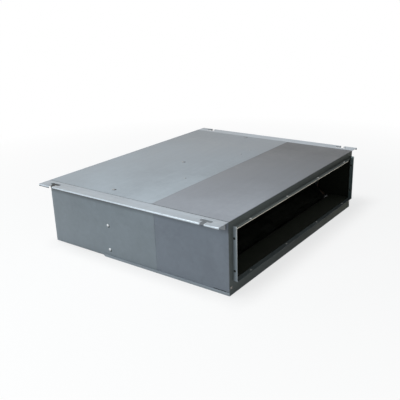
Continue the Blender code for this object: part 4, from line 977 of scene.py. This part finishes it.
class UNIT_OT_casing(bpy.types.Operator):
    """Finish the sheet-metal casing: panels, sides, floor, outlet and hanger rails"""

    bl_idname = "ducted_unit.casing"
    bl_label = "Casing"

    def execute(self, context):
        look = context.scene.unit_casing
        # Two dark tones: the first for the painted shadows beside the screws and rivets and for the
        # front sheet's darkening towards the seam, the second for the collar's walls, painted
        # darker towards the right as shade, and for their cut-back end.
        darkening, collar_darkening = (0.06, 0.062, 0.062), (0.035, 0.04, 0.04)
        top_screws, side_screws = screw_places()[:3], screw_places()[3:5]
        rear = galvanised(
            "rear_sheet",
            look.sheet,
            shine=0.14,
            far=look.sheet_far,
            parts=(
                (beside_rails, look.sheet_far),
                (rear_falloff_shade, look.grime),
                # Painted shadows beside the screws and rivets on top and on the left side.
                (shadow_at(top_screws, (2.5 * MM, -3 * MM, 0), 5 * MM), darkening),
                (shadow_at(rivet_places()[:3], (1 * MM, -1 * MM, 0), 3 * MM), darkening),
                (shadow_at(side_screws, (0, -3 * MM, -3.5 * MM), 4 * MM), look.grime),
                (shadow_below_rear_rails, look.grime),
            ),
        )
        dull = {"metallic": 0.12, "roughness": 0.46}
        front = galvanised(
            "front_sheet",
            look.front_sheet,
            **dull,
            shine=0.1,
            far=look.front_far,
            parts=((front_seam_side, darkening), (beside_rails, look.grime)),
        )
        # Painted shadow under the rails, on the front sides.
        under = ((shadow_below_rails, look.grime),)
        sides = galvanised("front_side_sheet", look.front_side, **dull, shine=0.12, parts=under)
        rail = galvanised(
            "rail_sheet",
            look.rail,
            metallic=0.35,
            roughness=0.36,
            parts=(
                (rail_leg, look.shaded_leg),
                (darker_leg, (0.09, 0.088, 0.085)),
                (leg_end, look.grime),
                (rail_edge_highlight, look.rolled_edge),
                (rail_edge_underside_shade, look.grime),
                (rear_falloff_shade, look.grime),
            ),
        )
        tray = galvanised("tray_sheet", look.tray, metallic=0.3, roughness=0.42)
        # The outlet panel: painted shade on its front face, on the strip under the outlet and on
        # the collar's root, top, bottom and right end, and a painted highlight on the collar's left
        # edge.
        outlet = galvanised(
            "outlet_sheet",
            look.outlet,
            metallic=0.05,
            roughness=0.5,
            shine=0.06,
            far=look.outlet_far,
            parts=(
                (sill_shade, (0.030, 0.038, 0.024)),
                (collar_walls, look.collar),
                (collar_root_shade, (0.05, 0.065, 0.07)),
                (right_wall, (0.22, 0.29, 0.29)),
                # Painted shade on the collar's top and bottom walls.
                (collar_top, look.collar_top),
                (collar_floor, (0.25, 0.275, 0.28)),
                (collar_right_shade, collar_darkening),
                (upper_mouth, look.cut_edge),
                (chamfered_end, collar_darkening),
                (left_mouth_highlight, (0.78, 0.79, 0.78)),
            ),
        )
        rear_nodes = ("rear_top_panel", "left_rear_side", "right_rear_side", "fan_access_panel")
        for finish, slot, *nodes in (
            (front, "front_panel_steel", "front_top_panel"),
            (sides, "front_panel_steel", "left_front_side", "right_front_side"),
            (rear, "galvanised_steel", *rear_nodes, "return_air_frame"),
            (tray, "galvanised_steel", "bottom_front_tray"),
            (outlet, "outlet_steel", "outlet_front_panel"),
            (rail, "rail_steel", "left_hanger_rail", "right_hanger_rail"),
        ):
            for node in nodes:
                edged_copy(node, finish, "casing", slot, look.edge_width)
        inner = galvanised("inner_sheet", (0.30, 0.32, 0.335), metallic=0.4, roughness=0.5)
        paint(inner, "fan_deck", "filter_channel_top", "filter_channel_bottom")
        paint(inner, "motor_bracket", "left_motor_strap", "right_motor_strap")
        lining = foam("foam_lining", (0.010, 0.0125, 0.008))
        paint(lining, "top_lining", "left_lining", "right_lining", "drain_pan")
        paint(foam("foam_sill", (0.014, 0.017, 0.011)), "outlet_floor_foam")
        return {"FINISHED"}


# Heads, as shares of a height and a radius
SCREW_CURVE = ((0.25, 1), (0.6, 0.92), (0.88, 0.68), (1, 0.36), (1.02, 0))
RIVET_CURVE = ((0.32, 0.8), (0.42, 0.42), (0.2, 0.36), (0.12, 0))


def screw_head(diameter, height):
    """A pan head with a cross recess, standing on z = 0."""
    radius = diameter / 2
    profile = [(-0.2 * MM, 0), (-0.2 * MM, radius * 0.8), (0, radius * 0.97)]
    profile += [(height * up, radius * out) for up, out in SCREW_CURVE]
    head = as_object("screw_head", turned(profile, (0, 0, 0), "Z", 20))
    recess = Matrix.Diagonal((radius * 1.05, radius * 0.24, height * 1.1, 1))
    for turn in (0, math.pi / 2):
        slot = bmesh.new()
        bmesh.ops.create_cube(slot, size=1.0)
        raised = Matrix.Translation((0, 0, height))
        slot.transform(Matrix.Rotation(turn, 4, "Z") @ raised @ recess)
        combined(head, slot, "DIFFERENCE")
    return shade_round(head, 45)


def rivet_head(diameter):
    """A low domed rivet with the stem's hole in the middle."""
    radius = diameter / 2
    profile = [(-0.2 * MM, 0), (-0.2 * MM, radius * 0.9), (0.1 * MM, radius)]
    profile += [(radius * up, radius * out) for up, out in RIVET_CURVE]
    return as_object("rivet_head", turned(profile, (0, 0, 0), "Z", 16), 45)


def hole_plug(diameter, rim, lift):
    """A plug through a pilot hole, with a low head on each face of the sheet."""
    hole, head = diameter / 2 - 0.2 * MM, diameter / 2 + rim
    face = 0.52 * MM
    half = [(face, hole), (face, head), (face + lift * 0.5, head * 0.94)]
    half += [(face + lift, head * 0.6), (face + lift * 1.1, 0)]
    below = [(-along, radius) for along, radius in reversed(half)]
    return as_object("hole_plug", turned(below + half, (0, 0, 0), "Z", 16), 40)


def marked_places(name, places):
    """A mesh of loose points, each with the way its face looks."""
    mesh = bpy.data.meshes.new(name)
    mesh.from_pydata([place for place, _ in places], [], [])
    facing = mesh.attributes.new("facing", "FLOAT_VECTOR", "POINT")
    for item, (_, way) in zip(facing.data, places):
        item.vector = way
    return mesh


def plate_corners(node, edge):
    """The places of four fixings on a plate at the right, so far in from its corners."""
    low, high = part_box(node)
    return [
        ((high.x, y, z), (1, 0, 0))
        for y in (low.y + edge, high.y - edge)
        for z in (low.z + edge, high.z - edge)
    ]


def screw_places():
    """Where the casing is screwed together, with the way that each head faces."""
    up, down, left, ahead, behind = (0, 0, 1), (0, 0, -1), (-1, 0, 0), (0, -1, 0), (0, 1, 0)
    places = [((LEFT + x, FRONT + TOP_SCREWS_BACK, TOP), up) for x in TOP_SCREWS]
    places += [((LEFT, FRONT + SIDE_SCREWS_BACK, z), left) for z in SIDE_SCREWS]
    corners = (LEFT + CORNER_SCREW_IN, RIGHT - CORNER_SCREW_IN)
    places += [((x, FRONT, CORNER_SCREW_UP), ahead) for x in corners]
    low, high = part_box("return_air_frame")
    edge = RETURN_SCREWS_IN
    for x in (low.x + edge, low.x / 2, 0, high.x / 2, high.x - edge):
        for z in (low.z + RETURN_SCREWS_UP, high.z - RETURN_SCREWS_UP):
            places.append(((x, high.y, z), behind))
    low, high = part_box("fan_access_panel")
    edge, middle, ahead_edge = ACCESS_SCREWS_IN, ACCESS_SCREWS_MIDDLE, ACCESS_SCREWS_AHEAD
    for x in (low.x + edge, -middle, middle, high.x - edge):
        for y in (low.y + ahead_edge, high.y - edge):
            places.append(((x, y, low.z + ACCESS_FACE), down))
    return places + plate_corners("pipe_plate", PIPE_PLATE_SCREWS_IN)


def rivet_places():
    """The rivets on top, and those along each hanger rail's leg."""
    places = [((LEFT + x, FRONT + TOP_RIVETS_BACK, TOP), (0, 0, 1)) for x in TOP_RIVETS]
    for way in (-1, 1):
        x = way * (RIGHT + RAIL_RIVETS_OUT)
        places += [((x, y, RAIL_LOW + RAIL_RIVETS_UP), (way, 0, 0)) for y in RAIL_RIVETS]
    return places


def collar_holes():
    """The middles of the collar's pilot holes: the side walls' and then the others'."""
    y, wall = FRONT - HOLE_BACK, 0.5 * MM
    sides = [
        ((x, y, z), (way, 0, 0))
        for x, way in ((OUTLET_LEFT - wall, -1), (OUTLET_RIGHT + wall, 1))
        for z in (OUTLET_SILL + SIDE_HOLE_IN, OUTLET_TOP - SIDE_HOLE_IN)
    ]
    first, last = OUTLET_LEFT + HOLES_FROM_LEFT, OUTLET_RIGHT - HOLES_FROM_RIGHT
    others = [
        ((first + (last - first) * i / (HOLES_ACROSS - 1), y, z), (0, 0, way))
        for i in range(HOLES_ACROSS)
        for z, way in ((OUTLET_SILL - wall, -1), (OUTLET_TOP + wall, 1))
    ]
    return sides, others


# Masks for the screws, whose plating is painted lighter on the left side as a highlight and darker
# on top and at the front's lower corners as shade
def left_side(finish):
    return finish.x < LEFT


def lower_corner(finish):
    return (finish.y < FRONT) * (finish.z < OUTLET_SILL - 5 * MM)


def casing_top(finish):
    return finish.z > TOP - 1 * MM


class UNIT_OT_fixings(bpy.types.Operator):
    """Set the screws and rivets that hold the casing and its covers"""

    bl_idname = "ducted_unit.fixings"
    bl_label = "Screws and rivets"

    def execute(self, context):
        look = context.scene.unit_fixings
        # Lit and shaded copies of the plating: painted darker on top and at the lower front
        # corners, painted brighter on the left side as a highlight.
        parts = (
            (casing_top, (0.33, 0.34, 0.34)),
            (left_side, (0.80, 0.82, 0.84)),
            (lower_corner, (0.22, 0.205, 0.19)),
        )
        plating = bright_metal(
            "plated_screw", look.colour, roughness=0.28, tarnish=(0.40, 0.38, 0.33), parts=parts
        )
        # Painted shade: black plugs in the collar's side holes stand for the shade seen through
        # them.
        plastic = moulded("plug_plastic", (0.008, 0.009, 0.009))
        pattern = fixing_pattern()
        screw = screw_head(look.head_diameter, look.head_height)
        rivet = rivet_head(look.rivet_diameter)
        plug = hole_plug(HOLE_DIAMETER, rim=0.4 * MM, lift=0.8 * MM)
        side_holes, other_holes = collar_holes()
        cover_screws = plate_corners("electrical_box_cover", COVER_SCREWS_IN)
        for name, places, head, finish, slot in (
            ("casing_screws", screw_places(), screw, plating, "bright_steel"),
            ("cover_screws", cover_screws, screw, plating, "bright_steel"),
            ("rail_rivets", rivet_places(), rivet, plating, "bright_steel"),
            ("collar_rivets", other_holes, plug, plating, "bright_steel"),
            ("collar_plugs", side_holes, plug, plastic, "dark_plastic"),
        ):
            start = marked_places(name, places)
            made = pattern.grow(name, start, Head=head, Seed=look.seed, Finish=finish)
            fitted(made, None, "casing", slot)
        for head in (screw, rivet, plug):
            bpy.data.objects.remove(head)
        return {"FINISHED"}


def fin_outline(long, scallop):
    """A fin's outline on the slanted coil, with waves along both edges."""
    edge = [
        (long * i / (2 * COIL_TUBES), scallop * (0.5 - 0.5 * math.cos(math.pi * i)))
        for i in range(2 * COIL_TUBES + 1)
    ]
    return edge + [(along, COIL_THICKNESS - wave) for along, wave in reversed(edge)]


def plate_and_bends(side, tube, shaded_stain):
    """The finish of an end plate: dull sheet, and copper where the tubes' bends stand out, both
    painted near-black as shade inside the casing.
    """
    low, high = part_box(side + "_coil_plate")
    finish = Finish(side + "_plate_and_bends")
    out = finish.x - low.x if side == "right" else (finish.x - high.x) * -1
    bend = out > BENDS_START
    spangle = finish.flakes(140.0)
    stain = finish.noise(30.0, 4.0, 0.6)
    sheet = finish.shade((0.018, 0.02, 0.018), finish.spread(spangle, 0.94, 1.06))
    copper = finish.mix(finish.spread(stain, 0.0, 0.7, 0.45, 0.75), tube, shaded_stain)
    return finish.surface(
        Base_Color=finish.mix(bend, sheet, copper),
        Metallic=finish.spread(bend, 0.2, 1.0),
        Roughness=finish.spread(stain, 0.36, 0.6, 0.4, 0.75),
        Normal=finish.bump(stain, 0.1 * MM),
        Specular_IOR_Level=0.1,
    )


class UNIT_OT_coil(bpy.types.Operator):
    """Build the fin pack and its tubes, and finish the end plates, headers and bends"""

    bl_idname = "ducted_unit.coil"
    bl_label = "Coil"

    def execute(self, context):
        look = context.scene.unit_coil
        long = (FINS[1].y - coil_place(0, 0)[0]) / math.cos(COIL_ANGLE)
        outline = [coil_place(*place) for place in fin_outline(long, look.scallop)]
        fin = as_object("fin", plate(outline, look.fin_thickness))
        start, end = FINS[0].x, FINS[1].x - look.fin_thickness
        count = int((end - start) / look.fin_pitch) + 1
        pitch = (end - start) / (count - 1)
        # Painted shade: near-black fins.
        coated = bright_metal(
            "coated_fin", look.fin_colour, 0.42, (0.035, 0.040, 0.035), drawn=(1, 0.2, 0.2)
        )
        fins = row_pattern().grow(
            "fin_pack", Plate=fin, Count=count, Start=start, Pitch=pitch, Finish=coated
        )
        bpy.data.objects.remove(fin)
        fitted(fins, None, "casing", "aluminium", "coil_fins")

        # Painted shade: near-black copper for the tubes, bends and headers inside.
        tube, shaded_stain = look.dark_copper, (0.012, 0.009, 0.007)
        copper = bright_metal("copper_tube", tube, 0.38, shaded_stain, drawn=(1, 8, 8))
        tubes = bmesh.new()
        rod = [(start, 0), (start, TUBE_RADIUS), (end, TUBE_RADIUS), (end, 0)]
        for row in (0.25, 0.75):
            for n in range(COIL_TUBES):
                y, z = coil_place((n + 0.5) * long / COIL_TUBES, COIL_THICKNESS * row)
                join_shapes(tubes, turned(rod, (0, y, z), steps=12))
        fitted(as_object("coil_tubes", tubes, 40), copper, "casing", "copper")

        for side in ("left", "right"):
            finish = plate_and_bends(side, tube, shaded_stain)
            rounded_copy(side + "_coil_plate", finish, "casing", "aluminium")
        for node in ("gas_header", "liquid_header"):
            rounded_copy(node, copper, "casing", "copper", 42)
        return {"FINISHED"}


class UNIT_OT_filter(bpy.types.Operator):
    """Weave the filter's net and finish its frame"""

    bl_idname = "ducted_unit.filter"
    bl_label = "Filter"

    def execute(self, context):
        look = context.scene.unit_filter
        low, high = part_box("filter_cloth")
        net = net_pattern().grow(
            "filter_net",
            Corner=(low.x, low.y + look.thread / 2, low.z),
            Width=high.x - low.x,
            Height=high.z - low.z,
            Mesh=look.mesh,
            Thread=look.thread,
            Finish=moulded("net_strands", look.colour, 0.6),
        )
        fitted(net, None, "filter", "filter_cloth", "filter_cloth")
        plastic = moulded("filter_plastic", (0.035, 0.037, 0.04), 0.5)
        edged_copy("filter_frame", plastic, "filter", "dark_plastic", 0.3 * MM)
        return {"FINISHED"}


def wheel_rings(low, high, middle, radius, eye):
    """The ring at each end of a wheel, and the hub in the middle of it."""
    shapes, soft = bmesh.new(), 0.6 * MM
    for a, b in ((low.x, low.x + 3 * MM), (high.x - 3 * MM, high.x)):
        ring = [(a, eye - soft), (a, radius - soft), (a + soft, radius)]
        ring += [(b - soft, radius), (b, radius - soft), (b, eye - soft)]
        join_shapes(shapes, turned(ring, SHAFT, steps=72))
    # Half of the hub, in millimetres along the shaft from the middle and out from the shaft
    hub = [(17, 6.3), (17, 11.5), (15.5, 13), (3.2, 13), (1.2, 15.4)]
    hub += [(1.2, radius / MM - 2.4)]
    hub = [(middle.x + along * MM, out * MM) for along, out in hub]
    hub += [(2 * middle.x - along, out) for along, out in reversed(hub)]
    join_shapes(shapes, turned(hub, SHAFT, steps=48))
    return as_object("rings", shapes)


class UNIT_OT_blowers(bpy.types.Operator):
    """Build the two blower wheels, and finish their housings, shaft and motor"""

    bl_idname = "ducted_unit.blowers"
    bl_label = "Blowers and motor"

    def execute(self, context):
        look = context.scene.unit_blowers
        plastic = moulded("housing_plastic", look.plastic, 0.45)
        pattern = wheel_pattern()
        for side in ("left", "right"):
            node = side + "_blower_wheel"
            low, high, middle, radius = round_node(node)
            half = (high.x - low.x) / 2 - 1.5 * MM
            blade = as_object("blade", blade_shape(middle.x, half, radius, look.chord))
            rings = wheel_rings(low, high, middle, radius, radius - look.chord)
            wheel = pattern.grow(
                side + "_wheel",
                Blade=blade,
                Rings=rings,
                Blades=look.blades,
                Shaft=(0, SHAFT.y, SHAFT.z),
                Finish=plastic,
            )
            for part in (blade, rings):
                bpy.data.objects.remove(part)
            fitted(shade_round(wheel, 30), None, "rotor", "dark_plastic", node)
            for half_name in ("_scroll_upper", "_scroll_lower"):
                rounded_copy(side + half_name, plastic, "casing", "dark_plastic")
        steel = bright_metal(
            "ground_steel", (0.60, 0.60, 0.59), 0.2, (0.38, 0.36, 0.33), drawn=(8, 1, 1)
        )
        rounded_copy("motor_shaft", steel, "rotor", "bright_steel", 40)
        can = galvanised("motor_can", look.motor, metallic=0.7, roughness=0.38)
        rounded_copy("motor_body", can, "casing", "motor_can", 30)
        rubber = moulded_rubber("rubber", (0.014, 0.014, 0.015))
        for side in ("left", "right"):
            rounded_copy(side + "_motor_bearing", steel, "casing", "bright_steel")
            rounded_copy(side + "_rubber_mount", rubber, "casing", "rubber")
        return {"FINISHED"}


def blade_shape(middle, half, radius, chord):
    """One forward-curved blade, straight along X, about the X axis."""
    front, back = [], []
    steps, thick, curve = 5, 0.9 * MM, math.radians(13)
    for i in range(steps + 1):
        share = i / steps
        reach = radius - chord + (chord - 0.4 * MM) * share
        for face, way in ((front, 1), (back, -1)):
            angle = curve * share**1.7 + way * thick / 2 / reach
            face.append((reach * math.cos(angle), reach * math.sin(angle)))
    bm = plate(front + back[::-1], 2 * half)
    bm.transform(Matrix.Translation((middle - half, 0, 0)))
    return bm


class UNIT_OT_drain(bpy.types.Operator):
    """Turn the drain spouts and the cap on the one that isn't used"""

    bl_idname = "ducted_unit.drain"
    bl_label = "Drain"

    def execute(self, context):
        plastic = moulded("spout_plastic", context.scene.unit_blowers.plastic, 0.4)
        for name in ("front", "rear"):
            node = name + "_drain_spout"
            low, high, middle, radius = round_node(node)
            bore, soft, corner = radius - 2.2 * MM, 0.6 * MM, 1 * MM
            loop = [(low.x, bore), (high.x - soft, bore), (high.x, bore + soft)]
            loop += [(high.x, radius - corner), (high.x - corner, radius), (low.x, radius)]
            turned_piece(name + "_spout", loop, middle, plastic, "dark_plastic", node)
        low, high, middle, radius = round_node("drain_plug")
        inner, skirt = radius - 2 * MM, radius - 0.2 * MM
        loop = [
            (high.x, 0),
            (high.x, radius - 2.2 * MM),
            (high.x - 0.6 * MM, radius - 0.8 * MM),
            (high.x - 2 * MM, skirt),
            (low.x + 4 * MM, skirt),
            (low.x + 3.4 * MM, radius),
            (low.x + 0.6 * MM, radius),
            (low.x, radius - 0.6 * MM),
            (low.x, inner),
            (high.x - 2 * MM, inner),
            (high.x - 2 * MM, 0),
        ]
        rubber = moulded_rubber("cap_rubber", (0.02, 0.02, 0.021))
        turned_piece("drain_cap", loop, middle, rubber, "rubber", "drain_plug")
        return {"FINISHED"}


def flare_nut(node, bore):
    """A hexagon with turned corners and a hole through it, in a nut's place."""
    low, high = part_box(node)
    middle, across = (low + high) / 2, (high.y - low.y) / 2
    centre, soft = (0, middle.y, middle.z), 0.3 * MM
    flats = across * math.cos(math.radians(30))
    corner = (across - flats) * 0.7
    hexagon = [(low.x, 0), (low.x, across), (high.x, across), (high.x, 0)]
    nut = as_object(node + "_body", turned(hexagon, centre, steps=6))
    rounding = [(low.x, 0), (low.x, flats - soft), (low.x + corner, across + 0.1 * MM)]
    rounding += [(high.x - corner, across + 0.1 * MM), (high.x, flats - soft), (high.x, 0)]
    combined(nut, turned(rounding, centre, steps=48), "INTERSECT")
    start, end = low.x - 0.01, high.x + 0.01
    hole = [(start, 0), (start, bore), (end, bore), (end, 0)]
    combined(nut, turned(hole, centre, steps=40), "DIFFERENCE")
    return shade_round(nut, 25)


class UNIT_OT_pipes(bpy.types.Operator):
    """Turn the two refrigerant pipes with their flare nuts, and finish their plate"""

    bl_idname = "ducted_unit.pipes"
    bl_label = "Pipes"

    def execute(self, context):
        look = context.scene.unit_coil
        copper = bright_metal("copper_pipe", look.copper, 0.2, (0.33, 0.14, 0.07), drawn=(1, 9, 9))
        brass = bright_metal("turned_brass", look.brass, 0.22, (0.42, 0.28, 0.11), drawn=(6, 1, 1))
        for name in ("gas", "liquid"):
            low, high, middle, radius = round_node(name + "_pipe")
            inside, soft = radius - 0.9 * MM, 0.3 * MM
            loop = [(RIGHT, 0), (RIGHT, inside), (high.x - soft, inside), (high.x, inside + soft)]
            loop += [(high.x, radius - 0.2 * MM), (high.x - 0.2 * MM, radius)]
            loop += [(low.x, radius), (low.x, 0)]
            turned_piece(name + "_tube", loop, middle, copper, "copper", name + "_pipe", steps=40)
            nut = name + "_flare_nut"
            fitted(flare_nut(nut, radius + 0.3 * MM), brass, "casing", "brass", nut)
        sheet = galvanised("plate_sheet", context.scene.unit_casing.sheet)
        edged_copy("pipe_plate", sheet, "casing", "galvanised_steel", 0.2 * MM)
        return {"FINISHED"}


def board_finish():
    """Green lacquer with tracks on the board, and dark and pale parts that stand on it."""
    board = Finish("board")
    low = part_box("control_board")[0]
    lacquer = (board.x < low.x + 11.4 * MM) * (board.x > low.x + 8 * MM)
    track = board.cells(260.0, stretch=(1, 1, 0.4))
    shown = board.spread(track, 0, 0.8, 0.32, 0.4)
    green = board.mix(shown, (0.02, 0.10, 0.05), (0.03, 0.15, 0.07))
    pale = board.flakes(24.0) > 0.5
    parts = board.mix(pale, (0.02, 0.02, 0.022), (0.16, 0.17, 0.18))
    return board.surface(
        Base_Color=board.mix(lacquer, parts, green),
        Roughness=board.spread(board.noise(300.0), 0.3, 0.55),
        Normal=board.bump(track, 0.05 * MM),
    )


class UNIT_OT_electrics(bpy.types.Operator):
    """Finish the electrical box, its cover, the board, terminals, capacitor and cable bush"""

    bl_idname = "ducted_unit.electrics"
    bl_label = "Electrics"

    def execute(self, context):
        sheet = galvanised("box_sheet", context.scene.unit_casing.sheet)
        for node in ("electrical_box", "electrical_box_cover"):
            edged_copy(node, sheet, "casing", "galvanised_steel", 0.3 * MM)
        paint(board_finish(), "control_board")
        pale = moulded("terminal_plastic", (0.30, 0.29, 0.26), 0.5)
        edged_copy("terminal_block", pale, "casing", "dark_plastic", 0.4 * MM)
        can = bright_metal(
            "capacitor_can", (0.62, 0.63, 0.64), 0.25, (0.42, 0.43, 0.44), drawn=(1, 1, 0.2)
        )
        rounded_copy("fan_capacitor", can, "casing", "bright_steel", 40)

        low, high, middle, radius = round_node("cable_grommet")
        bore, neck = radius - 5.5 * MM, radius - 2.8 * MM
        soft, rim = 0.7 * MM, 2.5 * MM
        loop = [
            (low.y, bore + soft),
            (low.y + soft, bore),
            (high.y - soft, bore),
            (high.y, bore + soft),
            (high.y, radius - soft),
            (high.y - soft, radius),
            (high.y - rim, radius),
            (high.y - rim, neck),
            (low.y + rim, neck),
            (low.y + rim, radius),
            (low.y + soft, radius),
            (low.y, radius - soft),
        ]
        rubber = moulded_rubber("bush_rubber", (0.02, 0.02, 0.021))
        turned_piece("cable_bush", loop, middle, rubber, "rubber", "cable_grommet", "Y", 40)
        return {"FINISHED"}


class UNIT_PT_panel(bpy.types.Panel):
    """List the steps with their settings"""

    bl_idname = "UNIT_PT_panel"
    bl_label = "Ducted air conditioner"
    bl_space_type = "VIEW_3D"
    bl_region_type = "UI"
    bl_category = "Air conditioner"

    def draw(self, context):
        for operator, settings in STEPS:
            box = self.layout.box()
            box.operator(operator.bl_idname)
            if settings:
                group = getattr(context.scene, settings)
                for name in group.__annotations__:
                    box.prop(group, name)


SETTINGS = {
    "unit_stage": StageSettings,
    "unit_casing": CasingSettings,
    "unit_fixings": FixingSettings,
    "unit_coil": CoilSettings,
    "unit_filter": FilterSettings,
    "unit_blowers": BlowerSettings,
}
STEPS = (
    (UNIT_OT_stage, "unit_stage"),
    (UNIT_OT_casing, "unit_casing"),
    (UNIT_OT_fixings, "unit_fixings"),
    (UNIT_OT_coil, "unit_coil"),
    (UNIT_OT_filter, "unit_filter"),
    (UNIT_OT_blowers, "unit_blowers"),
    (UNIT_OT_drain, None),
    (UNIT_OT_pipes, None),
    (UNIT_OT_electrics, None),
)


def register():
    for group in SETTINGS.values():
        bpy.utils.register_class(group)
    for name, group in SETTINGS.items():
        setattr(bpy.types.Scene, name, PointerProperty(type=group))
    for operator, _ in STEPS:
        bpy.utils.register_class(operator)
    bpy.utils.register_class(UNIT_PT_panel)


def unregister():
    bpy.utils.unregister_class(UNIT_PT_panel)
    for operator, _ in reversed(STEPS):
        bpy.utils.unregister_class(operator)
    for name, group in reversed(SETTINGS.items()):
        delattr(bpy.types.Scene, name)
        bpy.utils.unregister_class(group)


def main():
    register()
    for operator, _ in STEPS:
        family, step = operator.bl_idname.split(".")
        getattr(getattr(bpy.ops, family), step)()


if __name__ == "__main__":
    main()
